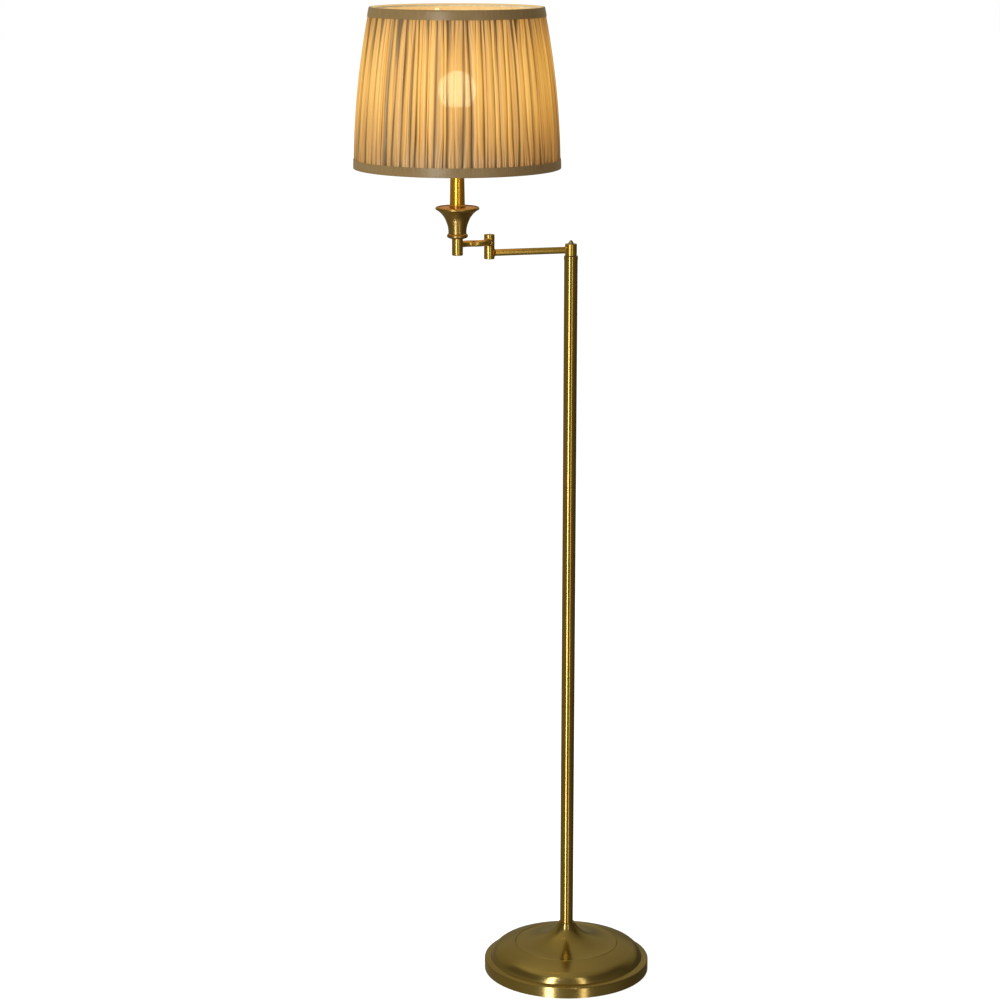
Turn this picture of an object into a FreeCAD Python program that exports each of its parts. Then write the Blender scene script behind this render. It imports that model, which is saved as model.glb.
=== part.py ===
import FreeCAD, Part
import math
import os

V = FreeCAD.Vector
UP = V(0, 0, 1)

# Bridge floor lamp, millimetres. Origin: centre of the base on the floor, +Z up, the
# front of the lamp faces -Y, and both arms reach out towards -X.

# ---- fits and clearances
RUN_FIT = 0.05            # radial play of a knuckle on its post
SEAT_FIT = 0.02           # radial play of brazed, screwed or pushed-in pieces
PLAY = 0.10               # end play between pieces that turn on each other
SOFT_GAP = 0.3            # air between cloth and what it goes round

# ---- base
BASE_R = 140.0
FLOOR_GAP = 1.0           # rim of the shell above the floor
RIM_H = 19.8              # top of the upright rim
RIM_ROUND = 2.0
LEDGE_W = 10.5
LEDGE_RISE = 1.7
SHELL_T = 1.2             # spun sheet
DOME_H = 46.9             # height of the shell at the outer edge of the groove
SHOULDER_IN = 15.0        # from the foot of the dome in to the end of its shoulder
SHOULDER_DROP = 7.9       # from the groove down to the end of the shoulder
SHOULDER_BOW = 3.0
CROWN_BOW = 0.6
GROOVE_R = 87.0
GROOVE_W = 2.2
GROOVE_DEPTH = 0.9
FLARE_R = 42.0            # where the flat annulus turns up into the cone
FLARE_H = 10.0            # rise from the groove to there
FLARE_BOW = 1.9
CONE_BOW = 3.4
FOOT_Z = 81.5             # top of the shell, where the pole stands
FOOT_LIP = 3.2            # lip of the shell round the pole
COLLAR_W = 2.3
COLLAR_H = 2.0
PAD_T = 2.5
PAD_INSET = 4.0
WEIGHT_T = 12.0
WEIGHT_RING_W = 11.0
WEIGHT_HUB_R = 22.0
WEIGHT_GAP = 0.2          # between the weight's raised ring and the ledge above it
NUT_POCKET_R = 14.0
NUT_POCKET_H = 9.0
STEM_R = 5.0              # threaded hollow stem that clamps the base
STEM_BORE_R = 3.6
STEM_IN_POLE = 14.0
SPACER_WALL = 2.5
NUT_FLATS = 17.0
NUT_H = 5.0
WASHER_R = 12.0
WASHER_T = 1.5
INLET_Z = 9.0             # mains inlet in the back of the rim
INLET_BORE_R = 3.2
GROMMET_WALL = 1.4
GROMMET_FLANGE_W = 2.2
GROMMET_FLANGE_T = 1.5
CHANNEL_W = 9.0

# ---- pole
POLE_R = 11.0
POLE_WALL = 1.0
LOWER_L = 387.5
SECTION_L = 377.0         # the middle and the upper section
JOINT_LINE = 0.5          # shadow line between two sections
COUPLER_L = 44.0
COUPLER_BORE_R = 5.0
CAP_R = 11.4
CAP_H = 6.2
CAP_ROUND = 0.8
CAP_SPIGOT_L = 12.0
PLUG_L = 16.0

# ---- pivots
POST_R = 4.0
POST_BORE_R = 2.4
WIRE_R = 2.2              # lead passage between a post and an arm
FRICTION_WASHER_T = 0.5
WASHER_INSET = 1.2        # friction washer inside the knuckle's edge
STUD_R = 1.9
ROOF_T = 2.0              # top wall of the pole knuckle
FINIAL_R = 4.3
FINIAL_H = 5.5
FINIAL_SHANK = 1.3
LOCK_NUT_FLATS = 12.0
LOCK_NUT_H = 4.0

# ---- arms
INNER_ARM_L = 137.2       # pole axis to elbow axis
INNER_ARM_AZ = 196.9      # degrees from +X
INNER_ARM_R = 5.5
OUTER_ARM_L = 69.0        # elbow axis to head axis
OUTER_ARM_AZ = 224.65
OUTER_ARM_R = 5.2
S_ANGLE = 42.0            # how far the S leaves its chord at each end, degrees
ARM_WALL = 1.0
SEAT_DEPTH = 1.6          # how deep an arm sits in a knuckle's wall
WELD_W = 1.1              # brazed fillet round an arm where it meets a knuckle

POLE_KNUCKLE_R = 9.6
POLE_KNUCKLE_H = 18.9
ELBOW_R = 8.5
ELBOW_DROP = 9.9          # elbow's underside below the straight arm's centre
ELBOW_LOWER_H = 20.0
ELBOW_UPPER_H = 19.0
END_CAP_H = 2.3
END_CAP_SPIGOT = 2.0
EDGE_ROUND = 0.9
ELBOW_NUT_R = 6.0
ELBOW_NUT_H = 3.0
NUT_ROOM = 0.4            # air round the nut inside the upper elbow
INNER_ARM_DROP = 10.1     # arm's centre below the pole knuckle's top
OUTER_ARM_RISE = 7.2      # arm's centre above the upper elbow's underside
HEAD_KNUCKLE_R = 8.8
HEAD_KNUCKLE_DROP = 16.1  # from the outer arm's centre down to the end cap
HEAD_KNUCKLE_RISE = 10.4  # and up to the cup
HEAD_CAP_H = 3.4
HEAD_CAP_LINE = 0.4       # shadow line above the head's end cap

# ---- candle cup
CUP_RIM_R = 35.0
CUP_RIM_ROLL = 2.6
CUP_H = 51.0              # from the head knuckle to the top of the rim
CUP_WALL = 1.6
CUP_NECK_R = 14.4
CUP_NECK_H = 12.8
CUP_WAIST_R = 17.1        # on the flare, at the height given next
CUP_WAIST_H = 25.2
CUP_FLARE_BOW = 2.2
CUP_NECK_BOW = 0.5
BEAD_R = 16.8
BEAD_H = 6.4
BEAD_BOTTOM = 1.6
CUP_FOOT_R = 10.0
CUP_PLATE_DROP = 1.2      # plate below the top of the rim
CUP_PLATE_T = 1.3
NIPPLE_R = 5.0
NIPPLE_BORE_R = 3.8
NIPPLE_IN_KNUCKLE = 4.0
CANDLE_FOOT_R = 12.0
CANDLE_TOP_R = 10.8
CANDLE_L = 68.0
CANDLE_WALL = 1.0
CANDLE_COLLAR_W = 0.8
CANDLE_COLLAR_H = 4.0

# ---- lampholder and bulb
HOLDER_CAP_R = 15.5
HOLDER_CAP_H = 20.0
HOLDER_R = 19.4
HOLDER_H = 46.0
HOLDER_WALL = 2.6
HOLDER_FLOOR = 3.0
HOLDER_SHOULDER_H = 8.0   # shoulder that carries the shade's ring
HOLDER_SHOULDER_W = 2.0
SHADE_NUT_W = 4.6
SHADE_NUT_H = 8.0
SCREW_SHELL_R = 14.4
SCREW_SHELL_WALL = 0.5
SCREW_SHELL_H = 22.0
CONTACT_R = 4.5
CONTACT_H = 8.0
SWITCH_Z = 6.5            # switch stem above the underside of the holder's cap
SWITCH_AZ = 270.0
SWITCH_STEM_R = 2.0
SWITCH_STEM_L = 12.0
SWITCH_KNOB_R = 5.0
SWITCH_KNOB_L = 11.0
SWITCH_RIDGES = 12
SWITCH_RIDGE_R = 0.6
BULB_R = 30.0
BULB_L = 115.0
BULB_GLASS_T = 1.0
BULB_CAP_R = 13.2
BULB_CAP_L = 26.0
BULB_SHANK_BOW = 2.0
BULB_CONTACT_R = 5.0

# ---- shade
SHADE_H = 250.6
SHADE_TOP_R = 137.5       # over the bands
SHADE_BOTTOM_R = 164.3
SHADE_BOW = 6.2
SHADE_UNDER_CANDLE = 5.3  # bottom edge of the shade below the top of the candle tube
BAND_H = 15.0
BAND_T = 0.7
BAND_GAP = 0.1            # between the ribbon and the cover under it
BAND_RETURN = 7.0         # inner leg of the ribbon
CLOTH_T = 0.8             # thinnest place of the gathered cover
FOLDS = 72
FOLD_DEPTH = 3.6
FOLD_DEPTH_END = 1.6      # under the bands
FOLD_UNEVEN = 0.28        # share of a fold's width by which folds differ
FOLD_LEAN = 1.6           # degrees that the folds drift over the height
HOOP_WIRE_R = 1.5
HOOP_INSET = 2.6          # hoop's centre from the shade's edge
LINING_T = 0.5
RING_T = 2.0
RING_W = 6.0
SPOKES = 3
SPOKE_AZ = 90.0
SPOKE_R = 1.6
SHOWN_LEVELS = 5          # sections that the gathered cover is drawn through

TINY = 1e-6


def polar(length, azimuth):
    return V(length * math.cos(math.radians(azimuth)), length * math.sin(math.radians(azimuth)), 0)


def bowed(a, b, bow):
    """Point that stands off the middle of a-b by bow, to the left of the way from a to b."""
    along = b - a
    side = V(-along.z, 0, along.x)
    side.normalize()
    return (a + b) * 0.5 + side * bow


def outline(points):
    """Closed face in the XZ plane. A point is (r, z), or (r, z, bow) where an arc leads to it."""
    edges = []
    here = V(points[0][0], 0, points[0][1])
    for point in list(points[1:]) + [points[0][:2]]:
        there = V(point[0], 0, point[1])
        if here.distanceToPoint(there) < TINY:
            continue
        if len(point) == 3 and abs(point[2]) > TINY:
            edges.append(Part.Arc(here, bowed(here, there, point[2]), there).toShape())
        else:
            edges.append(Part.LineSegment(here, there).toShape())
        here = there
    return Part.Face(Part.Wire(edges))


def turned(points, centre=V(0, 0, 0)):
    """Solid of revolution about the upright axis through centre."""
    solid = outline(points).revolve(V(0, 0, 0), UP, 360)
    solid.translate(centre)
    return solid


def cylinder(radius, low, high, centre=V(0, 0, 0)):
    return Part.makeCylinder(radius, high - low, V(centre.x, centre.y, low), UP)


def tube(outer, inner, low, high, centre=V(0, 0, 0)):
    return cylinder(outer, low, high, centre).cut(cylinder(inner, low - 1, high + 1, centre))


def round_bar(radius, start, end):
    way = end - start
    return Part.makeCylinder(radius, way.Length, start, way)


def rounded_barrel(radius, low, high, centre, low_round, high_round):
    """Barrel with its end edges rounded, as a revolved outline."""
    quarter = 1 - math.sqrt(0.5)
    points = [(0, low), (radius - low_round, low), (radius, low + low_round, -low_round * quarter)]
    points += [(radius, high - high_round), (radius - high_round, high, -high_round * quarter)]
    points += [(0, high)]
    return turned(points, centre)


def hex_nut(flats, bore, low, high, centre=V(0, 0, 0)):
    corner = flats / math.sqrt(3)
    ring = [centre + polar(corner, 60 * side) for side in range(6)]
    ring.append(ring[0])
    nut = Part.Face(Part.makePolygon(ring)).extrude(UP * (high - low))
    nut.translate(V(0, 0, low))
    return nut.cut(cylinder(bore, low - 1, high + 1, centre))


def ring_of_wire(ring_r, wire_r, height, centre):
    return Part.makeTorus(ring_r, wire_r, V(centre.x, centre.y, height), UP)


PIECES = {}


def piece(name, shape):
    PIECES[name] = shape


# ---------------------------------------------------------------- places
RIM_TOP = RIM_H
LEDGE_Z = RIM_H + LEDGE_RISE
DOME_FOOT_R = BASE_R - LEDGE_W
CONE_TOP_R = POLE_R + FOOT_LIP
POLE_BORE_R = POLE_R - POLE_WALL
JOINTS_Z = [FOOT_Z + LOWER_L, FOOT_Z + LOWER_L + SECTION_L]
CAP_Z = JOINTS_Z[1] + SECTION_L
CAP_TOP = CAP_Z + CAP_H

POLE_KNUCKLE_Z = CAP_TOP + FRICTION_WASHER_T + PLAY
POLE_KNUCKLE_TOP = POLE_KNUCKLE_Z + POLE_KNUCKLE_H
INNER_ARM_Z = POLE_KNUCKLE_TOP - INNER_ARM_DROP
POLE_AXIS = V(0, 0, 0)
ELBOW_AXIS = polar(INNER_ARM_L, INNER_ARM_AZ)
HEAD_AXIS = ELBOW_AXIS + polar(OUTER_ARM_L, OUTER_ARM_AZ)

ELBOW_Z = INNER_ARM_Z - ELBOW_DROP
ELBOW_LOWER_TOP = ELBOW_Z + ELBOW_LOWER_H
ELBOW_UPPER_Z = ELBOW_LOWER_TOP + FRICTION_WASHER_T + PLAY
ELBOW_TOP = ELBOW_UPPER_Z + ELBOW_UPPER_H
OUTER_ARM_Z = ELBOW_UPPER_Z + OUTER_ARM_RISE
HEAD_KNUCKLE_Z = OUTER_ARM_Z - HEAD_KNUCKLE_DROP
HEAD_KNUCKLE_TOP = OUTER_ARM_Z + HEAD_KNUCKLE_RISE

CUP_TOP = HEAD_KNUCKLE_TOP + CUP_H
PLATE_TOP = CUP_TOP - CUP_PLATE_DROP
CANDLE_TOP = PLATE_TOP + CANDLE_L
HOLDER_Z = CANDLE_TOP + HOLDER_CAP_H
HOLDER_TOP = HOLDER_Z + HOLDER_H
SHOULDER_Z = HOLDER_Z + HOLDER_SHOULDER_H
CONTACT_TOP = HOLDER_Z + HOLDER_FLOOR + CONTACT_H
BULB_Z = CONTACT_TOP
BULB_CENTRE_Z = BULB_Z + BULB_L - BULB_R

SHADE_Z = CANDLE_TOP - SHADE_UNDER_CANDLE
SHADE_TOP = SHADE_Z + SHADE_H


# ---------------------------------------------------------------- base
def shell_outline(inward):
    """Outline of the base shell's outer face, moved in and down by the sheet's thickness."""
    def at(r, z, bow=None):
        moved = (r - inward, z - inward)
        return moved if bow is None else moved + (bow,)
    quarter = 1 - math.sqrt(0.5)
    shoulder_r = DOME_FOOT_R - SHOULDER_IN
    groove_out = GROOVE_R + GROOVE_W / 2
    groove_in = GROOVE_R - GROOVE_W / 2
    return [(0, FLOOR_GAP - inward), at(BASE_R, FLOOR_GAP),
            at(BASE_R, RIM_TOP - RIM_ROUND), at(BASE_R - RIM_ROUND, RIM_TOP, -RIM_ROUND * quarter),
            at(DOME_FOOT_R, LEDGE_Z),
            at(shoulder_r, DOME_H - SHOULDER_DROP, -SHOULDER_BOW),
            at(groove_out, DOME_H, -CROWN_BOW),
            at(GROOVE_R, DOME_H - GROOVE_DEPTH), at(groove_in, DOME_H),
            at(FLARE_R, DOME_H + FLARE_H, FLARE_BOW),
            at(CONE_TOP_R, FOOT_Z, CONE_BOW), (0, FOOT_Z - inward)]


def base_shell():
    shell = turned(shell_outline(0)).cut(turned(shell_outline(SHELL_T)))
    shell = shell.cut(cylinder(STEM_R + SEAT_FIT, 0, FOOT_Z + 1))
    return shell.cut(inlet_hole(INLET_BORE_R + GROMMET_WALL + SEAT_FIT))


def inlet_hole(radius):
    """Level hole through the back of the rim."""
    return round_bar(radius, V(0, DOME_FOOT_R, INLET_Z), V(0, BASE_R + 1, INLET_Z))


def base_weight():
    low = PAD_T
    top = low + WEIGHT_T
    ring_top = RIM_TOP - SHELL_T - WEIGHT_GAP
    outer = BASE_R - SHELL_T - RIM_ROUND
    weight = turned([(0, low), (outer, low), (outer, ring_top), (outer - WEIGHT_RING_W, ring_top),
                     (outer - WEIGHT_RING_W - 3, top), (WEIGHT_HUB_R + 3, top),
                     (WEIGHT_HUB_R, ring_top), (0, ring_top)])
    weight = weight.cut(cylinder(STEM_R + SEAT_FIT, 0, ring_top + 1))
    weight = weight.cut(cylinder(NUT_POCKET_R, low - 1, low + NUT_POCKET_H))
    channel = Part.makeBox(CHANNEL_W, BASE_R, INLET_Z + CHANNEL_W / 2 - low + 1,
                           V(-CHANNEL_W / 2, 0, low - 1))
    return weight.cut(channel)


def base_pieces():
    pocket_top = PAD_T + NUT_POCKET_H
    ring_top = RIM_TOP - SHELL_T - WEIGHT_GAP
    nut_top = pocket_top - WASHER_T
    piece("base_shell", base_shell())
    piece("base_weight", base_weight())
    piece("base_pad", cylinder(BASE_R - PAD_INSET, 0, PAD_T))
    piece("base_washer", tube(WASHER_R, STEM_R + SEAT_FIT, nut_top, pocket_top))
    piece("base_nut", hex_nut(NUT_FLATS, STEM_R + SEAT_FIT, nut_top - NUT_H, nut_top))
    piece("base_stem", tube(STEM_R, STEM_BORE_R, nut_top - NUT_H, FOOT_Z + STEM_IN_POLE))
    piece("base_spacer", tube(STEM_R + SPACER_WALL, STEM_R + SEAT_FIT, ring_top, FOOT_Z - SHELL_T))
    flange_r = INLET_BORE_R + GROMMET_WALL + GROMMET_FLANGE_W
    inner = round_bar(INLET_BORE_R + GROMMET_WALL, V(0, BASE_R - SHELL_T - 1, INLET_Z),
                      V(0, BASE_R, INLET_Z))
    flange = round_bar(flange_r, V(0, BASE_R, INLET_Z), V(0, BASE_R + GROMMET_FLANGE_T, INLET_Z))
    flange = flange.cut(cylinder(BASE_R, 0, INLET_Z * 3))
    bore = round_bar(INLET_BORE_R, V(0, DOME_FOOT_R, INLET_Z),
                     V(0, BASE_R + GROMMET_FLANGE_T + 1, INLET_Z))
    piece("inlet_grommet", inner.fuse(flange).cut(bore).removeSplitter())


# ---------------------------------------------------------------- pole
def pole_pieces():
    ends = [FOOT_Z, JOINTS_Z[0], JOINTS_Z[1], CAP_Z]
    for name, low, high in zip(("pole_lower", "pole_middle", "pole_upper"), ends, ends[1:]):
        lift = 0 if low == FOOT_Z else JOINT_LINE
        piece(name, tube(POLE_R, POLE_BORE_R, low + lift, high))
    for name, height in zip(("lower_coupler", "upper_coupler"), JOINTS_Z):
        sleeve = tube(POLE_BORE_R - SEAT_FIT, COUPLER_BORE_R,
                      height - COUPLER_L / 2, height + COUPLER_L / 2)
        stop = tube(POLE_R - JOINT_LINE, COUPLER_BORE_R, height, height + JOINT_LINE)
        piece(name, sleeve.fuse(stop).removeSplitter())
    piece("pole_plug", tube(POLE_BORE_R - SEAT_FIT, STEM_R + SEAT_FIT, FOOT_Z, FOOT_Z + PLUG_L))
    collar_r = POLE_R + COLLAR_W
    quarter = 1 - math.sqrt(0.5)
    piece("pole_collar", turned([
        (POLE_R + SEAT_FIT, FOOT_Z), (collar_r, FOOT_Z), (collar_r, FOOT_Z + COLLAR_H / 2),
        (collar_r - COLLAR_H / 2, FOOT_Z + COLLAR_H, -COLLAR_H / 2 * quarter),
        (POLE_R + SEAT_FIT, FOOT_Z + COLLAR_H)]))


def pole_top_pieces():
    cap = rounded_barrel(CAP_R, CAP_Z, CAP_TOP, POLE_AXIS, TINY * 10, CAP_ROUND)
    spigot = cylinder(POLE_BORE_R - SEAT_FIT, CAP_Z - CAP_SPIGOT_L, CAP_Z)
    cap = cap.fuse(spigot).removeSplitter()
    cap = cap.cut(cylinder(POST_R + SEAT_FIT, CAP_Z - CAP_SPIGOT_L - 1, CAP_TOP + 1))
    piece("pole_cap", cap)
    nut_top = CAP_Z - CAP_SPIGOT_L
    post_top = POLE_KNUCKLE_TOP - ROOF_T - PLAY
    post = cylinder(POST_R, nut_top - LOCK_NUT_H - 1, post_top)
    post = post.fuse(cylinder(STUD_R, post_top, POLE_KNUCKLE_TOP + FINIAL_H / 2))
    post = post.cut(cylinder(POST_BORE_R, nut_top - LOCK_NUT_H - 2, INNER_ARM_Z + WIRE_R * 1.4))
    window = round_bar(WIRE_R, V(0, 0, INNER_ARM_Z),
                       V(0, 0, INNER_ARM_Z) + polar(POST_R + 1, INNER_ARM_AZ))
    piece("pole_post", post.cut(window))
    piece("pole_post_nut", hex_nut(LOCK_NUT_FLATS, POST_R + SEAT_FIT, nut_top - LOCK_NUT_H, nut_top))
    piece("pole_friction_washer", tube(POLE_KNUCKLE_R - WASHER_INSET, POST_R + RUN_FIT,
                                       CAP_TOP, CAP_TOP + FRICTION_WASHER_T))
    base = POLE_KNUCKLE_TOP + PLAY
    finial = turned([(0, base), (FINIAL_R, base), (FINIAL_R, base + FINIAL_SHANK),
                     (FINIAL_R * 0.4, base + FINIAL_H), (0, base + FINIAL_H)])
    piece("finial_nut", finial.cut(cylinder(STUD_R + SEAT_FIT, base - 1,
                                            POLE_KNUCKLE_TOP + FINIAL_H / 2)))


# ---------------------------------------------------------------- arms
def fillet_collar(arm_r, knuckle_r, axis, height, azimuth):
    """Brazed fillet round a level arm where it leaves an upright knuckle."""
    start = V(axis.x, axis.y, height) + polar(knuckle_r - SEAT_DEPTH, azimuth)
    reach = SEAT_DEPTH + WELD_W
    cone = Part.makeCone(arm_r + WELD_W + SEAT_DEPTH, arm_r + SEAT_FIT, reach, start,
                         polar(1, azimuth))
    core = Part.makeCylinder(arm_r + SEAT_FIT, reach + 2, start - polar(1, azimuth), polar(1, azimuth))
    return cone.cut(core).cut(cylinder(knuckle_r, height - 30, height + 30, axis))


def inner_arm():
    start = V(0, 0, INNER_ARM_Z) + polar(POLE_KNUCKLE_R - SEAT_DEPTH, INNER_ARM_AZ)
    end = V(0, 0, INNER_ARM_Z) + polar(INNER_ARM_L - ELBOW_R + SEAT_DEPTH, INNER_ARM_AZ)
    return start, end


def arm_socket(knuckle, axis, knuckle_r, height, azimuth, arm_r):
    """Blind seat for the arm's end and the lead's hole from it into the bore."""
    centre = V(axis.x, axis.y, height)
    seat = round_bar(arm_r + SEAT_FIT, centre + polar(knuckle_r - SEAT_DEPTH, azimuth),
                     centre + polar(knuckle_r + arm_r, azimuth))
    hole = round_bar(WIRE_R, centre, centre + polar(knuckle_r, azimuth))
    return knuckle.cut(seat).cut(hole)


def pole_knuckle():
    knuckle = rounded_barrel(POLE_KNUCKLE_R, POLE_KNUCKLE_Z, POLE_KNUCKLE_TOP, POLE_AXIS,
                             EDGE_ROUND / 2, EDGE_ROUND)
    knuckle = knuckle.cut(cylinder(POST_R + RUN_FIT, POLE_KNUCKLE_Z - 1, POLE_KNUCKLE_TOP - ROOF_T))
    knuckle = knuckle.cut(cylinder(STUD_R + RUN_FIT, POLE_KNUCKLE_Z, POLE_KNUCKLE_TOP + 1))
    return arm_socket(knuckle, POLE_AXIS, POLE_KNUCKLE_R, INNER_ARM_Z, INNER_ARM_AZ, INNER_ARM_R)


def inner_arm_pieces():
    start, end = inner_arm()
    arm = round_bar(INNER_ARM_R, start, end)
    bore = round_bar(INNER_ARM_R - ARM_WALL, start - polar(1, INNER_ARM_AZ),
                     end + polar(1, INNER_ARM_AZ))
    piece("pole_knuckle", pole_knuckle())
    piece("straight_arm", arm.cut(bore))
    welds = [fillet_collar(INNER_ARM_R, POLE_KNUCKLE_R, POLE_AXIS, INNER_ARM_Z, INNER_ARM_AZ),
             fillet_collar(INNER_ARM_R, ELBOW_R, ELBOW_AXIS, INNER_ARM_Z, INNER_ARM_AZ + 180)]
    piece("straight_arm_fillets", Part.makeCompound(welds))


def elbow_lower_pieces():
    body_z = ELBOW_Z + END_CAP_H
    lower = cylinder(ELBOW_R, body_z, ELBOW_LOWER_TOP, ELBOW_AXIS)
    lower = lower.cut(cylinder(POST_R + SEAT_FIT, body_z - 1, ELBOW_LOWER_TOP + 1, ELBOW_AXIS))
    piece("elbow_lower_knuckle", arm_socket(lower, ELBOW_AXIS, ELBOW_R, INNER_ARM_Z,
                                            INNER_ARM_AZ + 180, INNER_ARM_R))
    cap = rounded_barrel(ELBOW_R, ELBOW_Z, body_z, ELBOW_AXIS, EDGE_ROUND, TINY * 10)
    spigot = cylinder(POST_R, body_z, body_z + END_CAP_SPIGOT, ELBOW_AXIS)
    piece("elbow_bottom_cap", cap.fuse(spigot).removeSplitter())
    nut_z = elbow_nut_z()
    post = tube(POST_R, POST_BORE_R, body_z + END_CAP_SPIGOT, nut_z + ELBOW_NUT_H, ELBOW_AXIS)
    post = post.cut(round_bar(WIRE_R, ELBOW_AXIS + V(0, 0, INNER_ARM_Z),
                              ELBOW_AXIS + V(0, 0, INNER_ARM_Z)
                              + polar(POST_R + 1, INNER_ARM_AZ + 180)))
    post = post.cut(round_bar(WIRE_R, ELBOW_AXIS + V(0, 0, OUTER_ARM_Z),
                              ELBOW_AXIS + V(0, 0, OUTER_ARM_Z)
                              + polar(POST_R + 1, OUTER_ARM_AZ + S_ANGLE)))
    piece("elbow_post", post)
    piece("elbow_friction_washer", tube(ELBOW_R - WASHER_INSET, POST_R + RUN_FIT, ELBOW_LOWER_TOP,
                                        ELBOW_LOWER_TOP + FRICTION_WASHER_T, ELBOW_AXIS))
    piece("elbow_nut", tube(ELBOW_NUT_R, POST_R + SEAT_FIT, nut_z, nut_z + ELBOW_NUT_H, ELBOW_AXIS))


def elbow_nut_z():
    return ELBOW_TOP - END_CAP_H - ELBOW_NUT_H - PLAY * 4


def elbow_upper_pieces():
    cap_z = ELBOW_TOP - END_CAP_H
    upper = cylinder(ELBOW_R, ELBOW_UPPER_Z, cap_z, ELBOW_AXIS)
    upper = upper.cut(cylinder(POST_R + RUN_FIT, ELBOW_UPPER_Z - 1, cap_z, ELBOW_AXIS))
    upper = upper.cut(cylinder(ELBOW_NUT_R + NUT_ROOM, elbow_nut_z() - PLAY, cap_z + 1, ELBOW_AXIS))
    piece("elbow_upper_knuckle", arm_socket(upper, ELBOW_AXIS, ELBOW_R, OUTER_ARM_Z,
                                            OUTER_ARM_AZ + S_ANGLE, OUTER_ARM_R))
    piece("elbow_top_cap", rounded_barrel(ELBOW_R, cap_z, ELBOW_TOP, ELBOW_AXIS,
                                          TINY * 10, EDGE_ROUND))


def bend(radius, start, centre, angle):
    """Round bar bent in the level plane about an upright axis through centre."""
    side = V(start.x - centre.x, start.y - centre.y, 0)
    along = side.cross(UP)
    circle = Part.Wire(Part.makeCircle(radius, start, along))
    return Part.Face(circle).revolve(centre, UP, angle)


def s_bar(radius):
    """The S-shaped bar from the elbow's axis to the head's: two equal opposite bends."""
    bend_r = OUTER_ARM_L / (4 * math.sin(math.radians(S_ANGLE)))
    level = V(0, 0, OUTER_ARM_Z)
    start = ELBOW_AXIS + level
    middle = (ELBOW_AXIS + HEAD_AXIS) * 0.5 + level
    first = start + polar(bend_r, OUTER_ARM_AZ + S_ANGLE - 90)
    second = middle + polar(bend_r, OUTER_ARM_AZ - S_ANGLE + 90)
    return bend(radius, start, first, -2 * S_ANGLE).fuse(bend(radius, middle, second, 2 * S_ANGLE))


def outer_arm_pieces():
    seat_in_elbow = cylinder(ELBOW_R - SEAT_DEPTH, ELBOW_Z, ELBOW_TOP + 10, ELBOW_AXIS)
    seat_in_head = cylinder(HEAD_KNUCKLE_R - SEAT_DEPTH, HEAD_KNUCKLE_Z - 10, CUP_TOP, HEAD_AXIS)
    arm = s_bar(OUTER_ARM_R).cut(s_bar(OUTER_ARM_R - ARM_WALL))
    piece("s_arm", arm.cut(seat_in_elbow).cut(seat_in_head))
    welds = [fillet_collar(OUTER_ARM_R, ELBOW_R, ELBOW_AXIS, OUTER_ARM_Z, OUTER_ARM_AZ + S_ANGLE),
             fillet_collar(OUTER_ARM_R, HEAD_KNUCKLE_R, HEAD_AXIS, OUTER_ARM_Z,
                           OUTER_ARM_AZ + S_ANGLE + 180)]
    arm_room = s_bar(OUTER_ARM_R + SEAT_FIT)
    piece("s_arm_fillets", Part.makeCompound([weld.cut(arm_room) for weld in welds]))
    head = cylinder(HEAD_KNUCKLE_R, HEAD_KNUCKLE_Z + HEAD_CAP_H, HEAD_KNUCKLE_TOP, HEAD_AXIS)
    head = head.cut(cylinder(NIPPLE_R + SEAT_FIT, HEAD_KNUCKLE_Z, HEAD_KNUCKLE_TOP + 1, HEAD_AXIS))
    room = arm_room.cut(seat_in_head)
    hole = round_bar(WIRE_R, HEAD_AXIS + V(0, 0, OUTER_ARM_Z),
                     HEAD_AXIS + V(0, 0, OUTER_ARM_Z) + polar(HEAD_KNUCKLE_R, OUTER_ARM_AZ + S_ANGLE + 180))
    piece("head_knuckle", head.cut(room).cut(hole))
    cap = rounded_barrel(HEAD_KNUCKLE_R, HEAD_KNUCKLE_Z, HEAD_KNUCKLE_Z + HEAD_CAP_H - HEAD_CAP_LINE,
                         HEAD_AXIS, EDGE_ROUND * 1.6, TINY * 10)
    neck_top = HEAD_KNUCKLE_Z + HEAD_CAP_H
    neck = cylinder(HEAD_KNUCKLE_R - HEAD_CAP_LINE, neck_top - HEAD_CAP_LINE, neck_top, HEAD_AXIS)
    spigot = cylinder(NIPPLE_R, neck_top, neck_top + END_CAP_SPIGOT, HEAD_AXIS)
    piece("head_bottom_cap", cap.fuse(neck).fuse(spigot).removeSplitter())


# ---------------------------------------------------------------- cup and candle tube
def cup_outline(wall):
    """Trumpet cup from its foot to its rim; wall is taken off for the inside."""
    foot = HEAD_KNUCKLE_TOP
    roll_z = CUP_TOP - CUP_RIM_ROLL
    roll_in = CUP_RIM_R - CUP_RIM_ROLL
    if wall:
        return [(0, foot + CUP_NECK_H), (CUP_NECK_R - wall, foot + CUP_NECK_H),
                (CUP_WAIST_R - wall, foot + CUP_WAIST_H, CUP_NECK_BOW),
                (roll_in - wall, roll_z, CUP_FLARE_BOW), (roll_in - wall, CUP_TOP + 1),
                (0, CUP_TOP + 1)]
    return [(0, foot), (CUP_FOOT_R, foot), (CUP_NECK_R, foot + BEAD_BOTTOM),
            (BEAD_R, foot + BEAD_H * 0.7, -0.5), (CUP_NECK_R, foot + BEAD_H + 2, -0.6),
            (CUP_NECK_R, foot + CUP_NECK_H),
            (CUP_WAIST_R, foot + CUP_WAIST_H, CUP_NECK_BOW),
            (roll_in, roll_z - CUP_RIM_ROLL, CUP_FLARE_BOW),
            (CUP_RIM_R, roll_z, -CUP_RIM_ROLL * 0.29), (roll_in, CUP_TOP, -CUP_RIM_ROLL * 0.29),
            (0, CUP_TOP)]


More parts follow.
